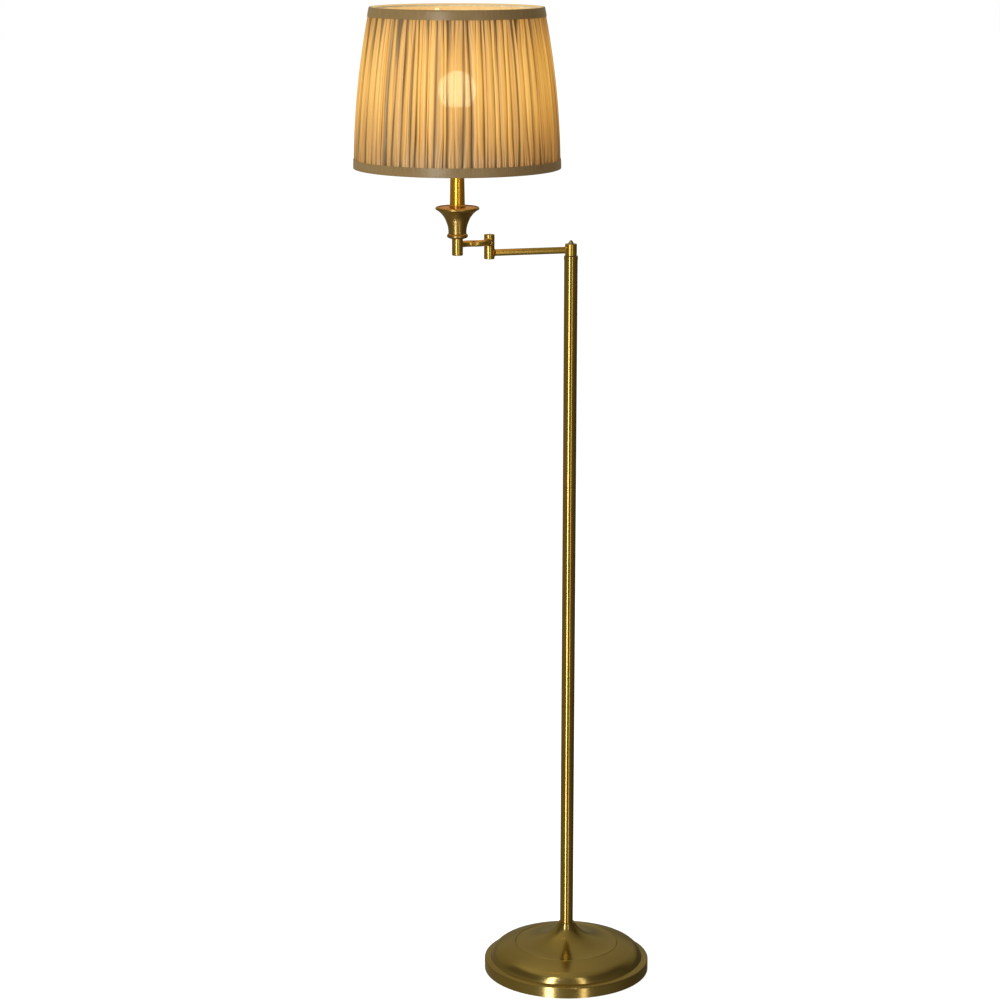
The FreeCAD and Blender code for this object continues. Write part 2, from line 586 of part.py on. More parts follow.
def cup_pieces():
    cup = turned(cup_outline(0), HEAD_AXIS).cut(turned(cup_outline(CUP_WALL), HEAD_AXIS))
    piece("cup", cup.cut(cylinder(NIPPLE_R + SEAT_FIT, HEAD_KNUCKLE_Z, CUP_TOP, HEAD_AXIS)))
    plate_r = CUP_RIM_R - CUP_RIM_ROLL - CUP_WALL - SEAT_FIT
    plate = cylinder(plate_r, PLATE_TOP - CUP_PLATE_T, PLATE_TOP, HEAD_AXIS)
    piece("cup_plate", plate.cut(cylinder(NIPPLE_R + SEAT_FIT, CUP_TOP - 20, CUP_TOP + 1, HEAD_AXIS)))
    piece("head_nipple", tube(NIPPLE_R, NIPPLE_BORE_R, HEAD_KNUCKLE_TOP - NIPPLE_IN_KNUCKLE,
                              CANDLE_TOP + HOLDER_FLOOR, HEAD_AXIS))
    foot = PLATE_TOP + CANDLE_COLLAR_H
    collar = turned([(0, PLATE_TOP), (CANDLE_FOOT_R + CANDLE_COLLAR_W, PLATE_TOP),
                     (CANDLE_FOOT_R + CANDLE_COLLAR_W, foot - CANDLE_COLLAR_W),
                     (CANDLE_FOOT_R, foot), (0, foot)], HEAD_AXIS)
    piece("candle_collar", collar.cut(cylinder(NIPPLE_R + SEAT_FIT, PLATE_TOP - 1, foot + 1, HEAD_AXIS)))
    piece("candle_tube", turned([
        (CANDLE_FOOT_R - CANDLE_WALL, foot), (CANDLE_FOOT_R, foot), (CANDLE_TOP_R, CANDLE_TOP),
        (CANDLE_TOP_R - CANDLE_WALL, CANDLE_TOP)], HEAD_AXIS))


# ---------------------------------------------------------------- lampholder and bulb
def holder_pieces():
    cap = turned([(0, CANDLE_TOP), (CANDLE_TOP_R, CANDLE_TOP), (HOLDER_CAP_R, CANDLE_TOP + 3, -0.6),
                  (HOLDER_CAP_R, HOLDER_Z), (0, HOLDER_Z)], HEAD_AXIS)
    cap = cap.cut(cylinder(NIPPLE_R + SEAT_FIT, CANDLE_TOP - 1, CANDLE_TOP + HOLDER_FLOOR + 1, HEAD_AXIS))
    cap = cap.cut(cylinder(HOLDER_CAP_R - HOLDER_WALL, CANDLE_TOP + HOLDER_FLOOR, HOLDER_Z + 1, HEAD_AXIS))
    stem_at = HEAD_AXIS + V(0, 0, CANDLE_TOP + SWITCH_Z)
    stem_hole = round_bar(SWITCH_STEM_R + RUN_FIT, stem_at, stem_at + polar(HOLDER_CAP_R + 1, SWITCH_AZ))
    piece("lampholder_cap", cap.cut(stem_hole))
    neck_r = HOLDER_R - HOLDER_SHOULDER_W
    body = cylinder(HOLDER_R, HOLDER_Z, SHOULDER_Z, HEAD_AXIS)
    body = body.fuse(cylinder(neck_r, SHOULDER_Z, HOLDER_TOP, HEAD_AXIS)).removeSplitter()
    body = body.cut(cylinder(SCREW_SHELL_R + SEAT_FIT, HOLDER_Z + HOLDER_FLOOR, HOLDER_TOP + 1, HEAD_AXIS))
    piece("lampholder_body", body)
    shell_z = CONTACT_TOP + 2
    shell = tube(SCREW_SHELL_R, SCREW_SHELL_R - SCREW_SHELL_WALL, shell_z - 7,
                 shell_z + SCREW_SHELL_H, HEAD_AXIS)
    piece("screw_shell", shell)
    piece("centre_contact", cylinder(CONTACT_R, HOLDER_Z + HOLDER_FLOOR, CONTACT_TOP, HEAD_AXIS))
    nut_z = SHOULDER_Z + RING_T
    piece("shade_nut", tube(neck_r + SHADE_NUT_W, neck_r + SEAT_FIT, nut_z, nut_z + SHADE_NUT_H,
                            HEAD_AXIS))


def switch_knob():
    centre = HEAD_AXIS + V(0, 0, CANDLE_TOP + SWITCH_Z)
    inner_end = centre + polar(HOLDER_CAP_R - HOLDER_WALL - 2, SWITCH_AZ)
    knob_start = centre + polar(HOLDER_CAP_R + SWITCH_STEM_L - SWITCH_KNOB_L / 2, SWITCH_AZ)
    knob_end = knob_start + polar(SWITCH_KNOB_L, SWITCH_AZ)
    knob = round_bar(SWITCH_STEM_R, inner_end, knob_start + polar(1, SWITCH_AZ))
    knob = knob.fuse(round_bar(SWITCH_KNOB_R, knob_start, knob_end))
    across = polar(1, SWITCH_AZ + 90)
    for ridge in range(SWITCH_RIDGES):
        turn = 2 * math.pi * ridge / SWITCH_RIDGES
        off = across * (SWITCH_KNOB_R * math.cos(turn)) + UP * (SWITCH_KNOB_R * math.sin(turn))
        knob = knob.cut(round_bar(SWITCH_RIDGE_R, knob_start + off - polar(1, SWITCH_AZ),
                                  knob_end + off + polar(1, SWITCH_AZ)))
    return knob


def bulb_outline(inward):
    """Round bulb on a tapering shank, from its cap up to the crown."""
    radius = BULB_R - inward
    shank_r = BULB_CAP_R - inward
    cap_top = BULB_Z + BULB_CAP_L
    lean = math.radians(-35)
    joint = (radius * math.cos(lean), BULB_CENTRE_Z + radius * math.sin(lean))
    crown_bow = radius * (1 - math.cos((math.pi / 2 - lean) / 2))
    return [(0, cap_top + inward), (shank_r, cap_top + inward), joint + (BULB_SHANK_BOW,),
            (0, BULB_CENTRE_Z + radius, -crown_bow)]


def bulb_pieces():
    glass = turned(bulb_outline(0), HEAD_AXIS).cut(turned(bulb_outline(BULB_GLASS_T), HEAD_AXIS))
    piece("bulb_glass", glass)
    cap_top = BULB_Z + BULB_CAP_L
    piece("bulb_cap", turned([(0, BULB_Z), (BULB_CONTACT_R, BULB_Z), (BULB_CAP_R, BULB_Z + 5),
                              (BULB_CAP_R, cap_top), (0, cap_top)], HEAD_AXIS))


# ---------------------------------------------------------------- shade
def share(z):
    return (z - SHADE_Z) / SHADE_H


def cover_r(z):
    """Outer radius of the gathered cover: a straight taper plus its bow."""
    t = share(z)
    straight = SHADE_BOTTOM_R + (SHADE_TOP_R - SHADE_BOTTOM_R) * t
    return straight - BAND_T - BAND_GAP + 4 * SHADE_BOW * t * (1 - t)


def layer(outside, inside, low, high):
    """Bowed ring between two distances in from the cover's outer radius."""
    middle = (low + high) / 2

    def bow_of(inset):
        straight = (cover_r(low) + cover_r(high)) / 2
        return cover_r(middle) - straight
    start, end = cover_r(low), cover_r(high)
    return turned([(start - inside, low), (start - outside, low),
                   (end - outside, high, -bow_of(outside)), (end - inside, high),
                   (start - inside, low, bow_of(inside))], HEAD_AXIS)


COVER_IN = FOLD_DEPTH + CLOTH_T
LINING_IN = COVER_IN + SOFT_GAP
RETURN_IN = LINING_IN + LINING_T + SOFT_GAP
HOOP_IN = RETURN_IN + BAND_T + SOFT_GAP + HOOP_WIRE_R


def fold_width(k):
    """Share of a plain fold's width that fold k takes: gathers are never even."""
    return 1 + FOLD_UNEVEN * (0.6 * math.sin(2.4 * k) + 0.4 * math.sin(5.1 * k + 1))


def fold_angles():
    widths = [fold_width(k) for k in range(FOLDS)]
    total = sum(widths)
    angles = [0.0]
    for width in widths:
        angles.append(angles[-1] + 2 * math.pi * width / total)
    return angles


def fold_section(z):
    """Closed wire of the gathers at height z: a crest and a furrow for each fold."""
    t = share(z)
    depth = FOLD_DEPTH_END + (FOLD_DEPTH - FOLD_DEPTH_END) * math.sin(math.pi * t)
    crest = cover_r(z)
    middle = crest - depth / 2
    drift = math.radians(FOLD_LEAN)

    def at(radius, angle):
        lean = drift * (t - 0.5) * math.sin(3 * angle)
        return HEAD_AXIS + V(radius * math.cos(angle + lean), radius * math.sin(angle + lean), z)
    edges = []
    angles = fold_angles()
    for a, c in zip(angles, angles[1:]):
        b = (a + c) / 2
        end = at(middle, 0) if c == angles[-1] else at(middle, c)
        edges.append(Part.Arc(at(middle, a), at(crest, (a + b) / 2), at(middle, b)).toShape())
        edges.append(Part.Arc(at(middle, b), at(crest - depth, (b + c) / 2), end).toShape())
    return Part.Wire(edges)


def shade_cover():
    low = SHADE_Z + BAND_T + SOFT_GAP
    high = SHADE_TOP - BAND_T - SOFT_GAP
    levels = [low + (high - low) * k / (SHOWN_LEVELS - 1) for k in range(SHOWN_LEVELS)]
    full = Part.makeLoft([fold_section(z) for z in levels], True, True)
    bow = cover_r((low + high) / 2) - (cover_r(low) + cover_r(high)) / 2
    hollow = turned([(0, low - 1), (cover_r(low) - COVER_IN, low - 1), (cover_r(low) - COVER_IN, low),
                     (cover_r(high) - COVER_IN, high, -bow),
                     (cover_r(high) - COVER_IN, high + 1), (0, high + 1)], HEAD_AXIS)
    return full.cut(hollow)


def band(edge_z, way):
    """Ribbon folded over the shade's edge: way is +1 at the bottom, -1 at the top."""
    fold = edge_z + way * BAND_T
    end = edge_z + way * BAND_H
    return_end = edge_z + way * BAND_RETURN

    def outer(z, out):
        return cover_r(z) + BAND_GAP + out, z

    def inner(z, more):
        return cover_r(z) - RETURN_IN - more, z
    return turned([outer(edge_z, BAND_T), outer(end, BAND_T), outer(end, 0), outer(fold, 0),
                   inner(fold, 0), inner(return_end, 0), inner(return_end, BAND_T),
                   inner(edge_z, BAND_T)], HEAD_AXIS)


def shade_pieces():
    low_hoop_z = SHADE_Z + BAND_T + SOFT_GAP + HOOP_INSET
    high_hoop_z = SHADE_TOP - BAND_T - SOFT_GAP - HOOP_INSET
    low_hoop_r = cover_r(low_hoop_z) - HOOP_IN
    low_hoop = ring_of_wire(low_hoop_r, HOOP_WIRE_R, low_hoop_z, HEAD_AXIS)
    high_hoop = ring_of_wire(cover_r(high_hoop_z) - HOOP_IN, HOOP_WIRE_R, high_hoop_z, HEAD_AXIS)
    piece("shade_bottom_hoop", low_hoop)
    piece("shade_top_hoop", high_hoop)
    neck_r = HOLDER_R - HOLDER_SHOULDER_W
    ring_r = neck_r + RING_W
    ring = tube(ring_r, neck_r + SEAT_FIT, SHOULDER_Z, SHOULDER_Z + RING_T, HEAD_AXIS)
    piece("fitter_ring", ring)
    hoop_room = ring_of_wire(low_hoop_r, HOOP_WIRE_R + SEAT_FIT, low_hoop_z, HEAD_AXIS)
    spokes = []
    for k in range(SPOKES):
        azimuth = SPOKE_AZ + 360 / SPOKES * k
        start = HEAD_AXIS + polar(ring_r - RING_T / 2, azimuth) + V(0, 0, SHOULDER_Z + RING_T / 2)
        end = HEAD_AXIS + polar(low_hoop_r, azimuth) + V(0, 0, low_hoop_z)
        spokes.append(round_bar(SPOKE_R, start, end).cut(hoop_room).cut(ring))
    piece("fitter_spokes", Part.makeCompound(spokes))
    edge = BAND_T + SOFT_GAP
    piece("shade_lining", layer(LINING_IN, LINING_IN + LINING_T, SHADE_Z + edge, SHADE_TOP - edge))
    piece("shade_cover", shade_cover())
    piece("shade_bottom_band", band(SHADE_Z, 1))
    piece("shade_top_band", band(SHADE_TOP, -1))


def build():
    base_pieces()
    pole_pieces()
    pole_top_pieces()
    inner_arm_pieces()
    elbow_lower_pieces()
    elbow_upper_pieces()
    outer_arm_pieces()
    cup_pieces()
    holder_pieces()
    piece("switch_knob", switch_knob())
    bulb_pieces()
    shade_pieces()
    os.makedirs("parts", exist_ok=True)
    for name, shape in PIECES.items():
        shape.exportStep("parts/%s.step" % name)
        print("%-24s solids %d  valid %s  volume %.0f" % (name, len(shape.Solids), shape.isValid(),
                                                         shape.Volume))


build()
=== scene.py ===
import bpy
import math
import numpy as np
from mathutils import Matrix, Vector


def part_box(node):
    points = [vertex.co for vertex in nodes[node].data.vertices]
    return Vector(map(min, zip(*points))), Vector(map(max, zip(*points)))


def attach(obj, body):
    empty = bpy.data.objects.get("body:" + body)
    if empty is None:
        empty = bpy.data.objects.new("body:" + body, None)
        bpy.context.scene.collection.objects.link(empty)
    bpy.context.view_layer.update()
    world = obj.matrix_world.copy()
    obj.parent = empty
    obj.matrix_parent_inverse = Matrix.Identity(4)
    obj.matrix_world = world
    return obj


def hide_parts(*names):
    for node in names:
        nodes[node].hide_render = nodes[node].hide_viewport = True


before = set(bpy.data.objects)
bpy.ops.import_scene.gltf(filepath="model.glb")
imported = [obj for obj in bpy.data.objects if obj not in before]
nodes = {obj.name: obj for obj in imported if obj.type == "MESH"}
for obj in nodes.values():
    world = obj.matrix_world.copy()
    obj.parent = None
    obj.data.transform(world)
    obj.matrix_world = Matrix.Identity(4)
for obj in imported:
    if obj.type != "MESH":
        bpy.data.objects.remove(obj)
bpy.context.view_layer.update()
print("frame loaded:", len(nodes), "nodes")


def linear(hexColour):
    # sRGB hex to the linear values that Blender's sockets take
    out = []
    for i in (0, 2, 4):
        c = int(hexColour[i:i + 2], 16) / 255
        out.append(c / 12.92 if c <= 0.04045 else ((c + 0.055) / 1.055) ** 2.4)
    return (out[0], out[1], out[2], 1.0)


def addNode(tree, kind, settings=None, links=None):
    # one node: settings are properties or input values, links go to its inputs
    node = tree.nodes.new(kind)
    for key, value in (settings or {}).items():
        if isinstance(key, str) and hasattr(node, key) and key not in node.inputs:
            setattr(node, key, value)
        else:
            node.inputs[key].default_value = value
    for key, source in (links or {}).items():
        tree.links.new(source, node.inputs[key])
    return node


def newMaterial(name):
    mat = bpy.data.materials.new(name)
    mat.use_nodes = True
    mat.node_tree.nodes.clear()
    return mat, mat.node_tree


def setRamp(node, stops):
    # stops are (place, colour); the colour is sRGB hex or four linear values
    ramp = node.color_ramp
    while len(ramp.elements) < len(stops):
        ramp.elements.new(0.5)
    for element, (place, colour) in zip(ramp.elements, stops):
        element.position = place
        element.color = colour if not isinstance(colour, str) else linear(colour)
    return node


def grey(value):
    return (value, value, value, 1.0)


def raySum(tree, *kinds):
    # 1 for the kinds of ray that are named, 0 for all others
    path = addNode(tree, "ShaderNodeLightPath")
    total = path.outputs[kinds[0]]
    for kind in kinds[1:]:
        total = addNode(tree, "ShaderNodeMath", {"operation": "ADD", "use_clamp": True},
                        {0: total, 1: path.outputs[kind]}).outputs[0]
    return total


def dress(mat, *names):
    for name in names:
        slots = nodes[name].data.materials
        slots.clear()
        slots.append(mat)


def deselectAll():
    if bpy.context.object and bpy.context.object.mode != "OBJECT":
        bpy.ops.object.mode_set(mode="OBJECT")
    bpy.ops.object.select_all(action="DESELECT")


def applyAll(obj):
    # modifiers, then place, turn and scale, so that the piece sits at the origin
    deselectAll()
    obj.select_set(True)
    bpy.context.view_layer.objects.active = obj
    for modifier in list(obj.modifiers):
        bpy.ops.object.modifier_apply(modifier=modifier.name)
    bpy.ops.object.transform_apply(location=True, rotation=True, scale=True)


def coordinates(obj):
    co = np.zeros(len(obj.data.vertices) * 3)
    obj.data.vertices.foreach_get("co", co)
    return co.reshape(-1, 3)


def putCoordinates(obj, co):
    obj.data.vertices.foreach_set("co", co.reshape(-1).astype(np.float32))
    obj.data.update()


def putAttribute(obj, name, values):
    # one value between 0 and 1 at each vertex
    attribute = obj.data.attributes.new(name, "FLOAT", "POINT")
    attribute.data.foreach_set("value", np.clip(values, 0, 1).astype(np.float32))


def loopVertices(obj):
    loopVertex = np.zeros(len(obj.data.loops), int)
    obj.data.loops.foreach_get("vertex_index", loopVertex)
    return loopVertex


def closeRound(around, turn):
    # faces that straddle the start of the round get all their corners on one side of it
    faces = around.reshape(-1, 4)
    straddles = (faces.max(axis=1) - faces.min(axis=1) > turn / 2)[:, None] & (faces < turn / 2)
    return np.where(straddles, faces + turn, faces).reshape(-1)


def putFlat(obj, name, u, v):
    # the sheet's own flat coordinates, in metres
    uvLayer = obj.data.uv_layers[0] if obj.data.uv_layers else obj.data.uv_layers.new()
    uvLayer.name = name
    uvLayer.data.foreach_set("uv", np.stack([u, v], axis=1).reshape(-1).astype(np.float32))


def smoothShade(obj):
    obj.data.polygons.foreach_set("use_smooth", np.ones(len(obj.data.polygons), bool))
    obj.data.update()


def centreOf(name):
    low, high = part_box(name)
    return (low + high) / 2


bulbRadius = 0.030
headAxis = centreOf("cup")
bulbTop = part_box("bulb_glass")[1].z
bulbCentre = Vector((headAxis.x, headAxis.y, bulbTop - bulbRadius))
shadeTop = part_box("shade_top_band")[1].z
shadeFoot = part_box("shade_bottom_band")[0].z

camera = {"place": (0.0018, -4.3509, 1.7992), "down": 12.649, "left": 1.547, "roll": -0.06,
          "lens": 96.99, "sensor": 36.0, "reach": 200}
camData = bpy.data.cameras.new("camera")
camObj = bpy.data.objects.new("camera", camData)
bpy.context.scene.collection.objects.link(camObj)
camData.lens = camera["lens"]
camData.sensor_width = camera["sensor"]
camData.clip_end = camera["reach"]
camObj.location = camera["place"]
camObj.rotation_mode = "XYZ"
camObj.rotation_euler = (math.radians(90 - camera["down"]), math.radians(camera["roll"]),
                         math.radians(camera["left"]))
bpy.context.scene.camera = camObj

# pale floor, a studio tent that only gloss sees, and lamps
stage = {"floorSize": 60.0, "floorDrop": 0.0002, "floorPaper": 0.88, "floorLift": 0.80,
         "worldDiffuse": 0.29, "lampAim": (-0.08, 0, 0.9)}

world = bpy.data.worlds.new("studio")
bpy.context.scene.world = world
world.use_nodes = True
tree = world.node_tree
tree.nodes.clear()
seen = raySum(tree, "Is Camera Ray", "Is Glossy Ray", "Is Transmission Ray")
strength = addNode(tree, "ShaderNodeMapRange",
                   {"To Min": stage["worldDiffuse"], "To Max": 1.0}, {"Value": seen})
sky = addNode(tree, "ShaderNodeBackground", {"Color": grey(1.0)},
              {"Strength": strength.outputs[0]})
addNode(tree, "ShaderNodeOutputWorld", {}, {"Surface": sky.outputs[0]})
# the world is even all round, so rays aimed at it would only add grain
world.cycles.sampling_method = "NONE"

deselectAll()
bpy.ops.mesh.primitive_plane_add(size=stage["floorSize"], location=(0, 0, -stage["floorDrop"]))
floor = bpy.context.object
floor.name = "floor"
floorMat, tree = newMaterial("paleFloor")
seen = raySum(tree, "Is Camera Ray", "Is Transmission Ray")
lift = addNode(tree, "ShaderNodeMath", {"operation": "MULTIPLY", 1: stage["floorLift"]}, {0: seen})
paper = addNode(tree, "ShaderNodeBsdfDiffuse", {"Color": grey(stage["floorPaper"])})
glowing = addNode(tree, "ShaderNodeEmission", {"Color": grey(1.0)}, {"Strength": lift.outputs[0]})
both = addNode(tree, "ShaderNodeAddShader", {}, {0: paper.outputs[0], 1: glowing.outputs[0]})
addNode(tree, "ShaderNodeOutputMaterial", {}, {"Surface": both.outputs[0]})
floorMat.cycles.emission_sampling = "NONE"
floor.data.materials.append(floorMat)
floor.visible_glossy = False
floor.visible_shadow = False  # it takes shadows, but doesn't hide the strip lamps' feet

# the tent is what polished brass reflects, by direction round the lamp: amber cloth,
# darker on the right, with a paler roof; heights are shares of its radius
tentLook = {"radius": 5.5, "segments": 96, "rings": 48, "tint": (1.0, 0.87, 0.50),
            "wallRise": (0.08, 0.34), "roofRise": (0.66, 0.90), "roofSpan": 0.5,
            "roofLeft": 0.56, "roofRight": 0.26}
tentR = tentLook["radius"]
tentLow = [(0.00, grey(0.22)), (0.25, grey(0.24)), (0.42, grey(0.26)), (0.55, grey(0.20)),
           (0.66, grey(0.16)), (0.78, grey(0.09)), (0.93, grey(0.08)), (1.00, grey(0.22))]
tentHigh = [(0.00, grey(0.36)), (0.17, grey(0.30)), (0.23, grey(0.15)), (0.42, grey(0.16)),
            (0.45, grey(0.24)), (0.56, grey(0.20)), (0.60, grey(0.13)), (0.80, grey(0.09)),
            (0.87, grey(0.22)), (1.00, grey(0.36))]
deselectAll()
bpy.ops.mesh.primitive_uv_sphere_add(segments=tentLook["segments"], ring_count=tentLook["rings"],
                                     radius=tentR, location=(0, 0, 0))
tent = bpy.context.object
tent.name = "studio_tent"
bpy.ops.object.transform_apply(location=True, rotation=True, scale=True)
tentMat, tree = newMaterial("studioTent")
coord = addNode(tree, "ShaderNodeTexCoord")
parts = addNode(tree, "ShaderNodeSeparateXYZ", {}, {0: coord.outputs["Object"]})
back = addNode(tree, "ShaderNodeMath", {"operation": "MULTIPLY", 1: -1.0}, {0: parts.outputs["Y"]})
angle = addNode(tree, "ShaderNodeMath", {"operation": "ARCTAN2"},
                {0: parts.outputs["X"], 1: back.outputs[0]})
turn = addNode(tree, "ShaderNodeMapRange", {"From Min": -math.pi, "From Max": math.pi},
               {"Value": angle.outputs[0]})
layers = []
for stops in (tentLow, tentHigh):
    layers.append(setRamp(addNode(tree, "ShaderNodeValToRGB", {}, {0: turn.outputs[0]}), stops))
rises = []
for low, high in (tentLook["wallRise"], tentLook["roofRise"]):
    rises.append(addNode(tree, "ShaderNodeMapRange",
                         {"From Min": low * tentR, "From Max": high * tentR,
                          "interpolation_type": "SMOOTHSTEP"}, {"Value": parts.outputs["Z"]}))
wall = addNode(tree, "ShaderNodeMix", {"data_type": "RGBA"},
               {0: rises[0].outputs[0], 6: layers[0].outputs["Color"],
                7: layers[1].outputs["Color"]})
roofTone = addNode(tree, "ShaderNodeMapRange",
                   {"From Min": -tentLook["roofSpan"] * tentR,
                    "From Max": tentLook["roofSpan"] * tentR,
                    "To Min": tentLook["roofLeft"], "To Max": tentLook["roofRight"]},
                   {"Value": parts.outputs["X"]})
roof = addNode(tree, "ShaderNodeMix", {"data_type": "RGBA"},
               {0: rises[1].outputs[0], 6: wall.outputs[2], 7: roofTone.outputs[0]})
amber = addNode(tree, "ShaderNodeVectorMath", {"operation": "MULTIPLY", 1: tentLook["tint"]},
                {0: roof.outputs[2]})
glowing = addNode(tree, "ShaderNodeEmission", {"Strength": 1.0}, {"Color": amber.outputs[0]})
addNode(tree, "ShaderNodeOutputMaterial", {}, {"Surface": glowing.outputs[0]})
tentMat.cycles.emission_sampling = "NONE"
tent.data.materials.append(tentMat)
tent.visible_camera = False
tent.visible_diffuse = False
tent.visible_transmission = False
tent.visible_shadow = False
tent.visible_volume_scatter = False


def addAreaLamp(name, look):
    data = bpy.data.lights.new(name, "AREA")
    data.energy = look["power"]
    data.color = linear(look["colour"])[:3]
    obj = bpy.data.objects.new(name, data)
    bpy.context.scene.collection.objects.link(obj)
    obj.visible_camera = False
    return obj


# soft boxes light the object, and gloss doesn't see them
lamps = {"softBoxLeft": {"place": (-2.3, -2.7, 2.3), "size": 1.8, "power": 72, "colour": "fffaf2"},
         "softBoxRight": {"place": (2.4, -1.9, 1.7), "size": 1.2, "power": 3, "colour": "ffe9cc"},
         "softBoxBack": {"place": (0.4, 2.8, 2.6), "size": 1.6, "power": 12, "colour": "ffffff"}}
for name, lamp in lamps.items():
    obj = addAreaLamp(name, lamp)
    obj.data.size = lamp["size"]
    obj.location = lamp["place"]
    aim = Vector(stage["lampAim"]) - Vector(lamp["place"])
    obj.rotation_euler = aim.to_track_quat("-Z", "Y").to_euler()
    obj.visible_glossy = False

# two tall strip lamps that only gloss sees draw the long highlights on the brass
stripAway, stripHeight = 3.0, 7.0
strips = {"stripLeft": {"turn": -23.0, "width": 0.46, "power": 85, "colour": "fffffc"},
          "stripRight": {"turn": 24.5, "width": 0.40, "power": 20, "colour": "fff0d8"}}
for name, strip in strips.items():
    obj = addAreaLamp(name, strip)
    obj.data.shape = "RECTANGLE"
    obj.data.size = strip["width"]
    obj.data.size_y = stripHeight
    way = math.radians(strip["turn"])
    obj.location = (stripAway * math.sin(way), -stripAway * math.cos(way), 0)
    obj.rotation_euler = (math.radians(90), 0, way)
    obj.visible_diffuse = False
    obj.visible_transmission = False
print("camera, stage and lamps made")


def brassMaterial(name, look):
    # antique brass: metal under a thin lacquer, so it mirrors the room in its own colour;
    # brushing along or round the piece varies the tone and blurs that mirror
    mat, tree = newMaterial(name)
    coord = addNode(tree, "ShaderNodeTexCoord")
    grain = addNode(tree, "ShaderNodeMapping", {"Scale": look["grain"]},
                    {"Vector": coord.outputs["Object"]})
    scratches = addNode(tree, "ShaderNodeTexNoise", {"Scale": 1.0, "Detail": 3.0, "Roughness": 0.6},
                        {"Vector": grain.outputs[0]})
    patches = addNode(tree, "ShaderNodeTexNoise", {"Scale": look["patch"], "Detail": 2.0},
                      {"Vector": coord.outputs["Object"]})
    tone = setRamp(addNode(tree, "ShaderNodeValToRGB", {}, {0: patches.outputs["Fac"]}),
                   [(0.30, look["dark"]), (0.62, look["light"])])
    fine, dull = (addNode(tree, "ShaderNodeMapRange",
                          {"From Min": 0.3, "From Max": 0.7, "To Min": low, "To Max": high},
                          {"Value": scratches.outputs["Fac"]})
                  for low, high in ((1.0 - look["streak"], 1.0), (look["smooth"], look["rough"])))
    colour = addNode(tree, "ShaderNodeVectorMath", {"operation": "SCALE"},
                     {0: tone.outputs["Color"], "Scale": fine.outputs[0]})
    shader = addNode(tree, "ShaderNodeBsdfPrincipled",
                     {"Metallic": 1.0, "Coat Weight": look["lacquer"],
                      "Coat Roughness": lacquerRough},
                     {"Base Color": colour.outputs[0], "Roughness": dull.outputs[0]})
    addNode(tree, "ShaderNodeOutputMaterial", {}, {"Surface": shader.outputs[0]})
    return mat


# grain is in cycles per metre: strokes 3 to 5 mm wide and 25 to 83 mm long
lacquerRough = 0.08
brassLooks = {
    "antiqueBrassBrushed": {
        "grain": (220, 220, 12), "patch": 4.0, "dark": "a88d4a", "light": "b99c55",
        "streak": 0.03, "smooth": 0.14, "rough": 0.17, "lacquer": 0.08,
        "nodes": ["pole_lower", "pole_middle", "pole_upper", "pole_cap"]},
    "antiqueBrassPolished": {
        "grain": (40, 40, 240), "patch": 14.0, "dark": "c0a04f", "light": "d0b162",
        "streak": 0.03, "smooth": 0.22, "rough": 0.27, "lacquer": 0.05,
        "nodes": ["pole_knuckle", "straight_arm", "straight_arm_fillets", "elbow_lower_knuckle",
                  "elbow_bottom_cap", "elbow_upper_knuckle", "elbow_top_cap", "s_arm",
                  "s_arm_fillets", "head_knuckle", "head_bottom_cap", "candle_collar"]},
    # the candle tube is brighter and more golden than the other brass: a painted reflection of the
    # shade's warm glow
    "antiqueBrassTubePaintedGlow": {
        "grain": (240, 240, 30), "patch": 14.0, "dark": "f4b640", "light": "fec54e",
        "streak": 0.03, "smooth": 0.24, "rough": 0.28, "lacquer": 0.1,
        "nodes": ["candle_tube"]},
    "antiqueBrassSpun": {
        "grain": (40, 40, 300), "patch": 14.0, "dark": "a8894f", "light": "b99c5f",
        "streak": 0.05, "smooth": 0.26, "rough": 0.32, "lacquer": 0.05,
        "nodes": ["cup"]},
    # the plate's pale warm colour is painted light: the bulb's glow and its reflection from the
    # shade
    "antiqueBrassPlatePaintedGlow": {
        "grain": (40, 40, 300), "patch": 14.0, "dark": "e1b384", "light": "ebc4a1",
        "streak": 0.04, "smooth": 0.34, "rough": 0.40, "lacquer": 0.1,
        "nodes": ["cup_plate"]},
    "antiqueBrassSpunBase": {
        "grain": (24, 24, 300), "patch": 5.0, "dark": "a79154", "light": "b8a46a",
        "streak": 0.05, "smooth": 0.16, "rough": 0.20, "lacquer": 0.03,
        "nodes": ["base_shell", "pole_collar"]}}
for name, look in brassLooks.items():
    dress(brassMaterial(name, look), *look["nodes"])


def plainMaterial(name, look):
    # a plain finish with fine mottling from a noise pattern, for the small parts
    mat, tree = newMaterial(name)
    coord = addNode(tree, "ShaderNodeTexCoord")
    noise = addNode(tree, "ShaderNodeTexNoise", {"Scale": look["scale"], "Detail": 4.0},
                    {"Vector": coord.outputs["Object"]})
    colour = setRamp(addNode(tree, "ShaderNodeValToRGB", {}, {0: noise.outputs["Fac"]}),
                     [(0.35, look["dark"]), (0.65, look["light"])])
    relief = addNode(tree, "ShaderNodeBump", {"Strength": look["relief"], "Distance": 0.0002},
                     {"Height": noise.outputs["Fac"]})
    shader = addNode(tree, "ShaderNodeBsdfPrincipled",
                     {"Metallic": look["metal"], "Roughness": look["rough"]},
                     {"Base Color": colour.outputs["Color"], "Normal": relief.outputs[0]})
    addNode(tree, "ShaderNodeOutputMaterial", {}, {"Surface": shader.outputs[0]})
    return mat


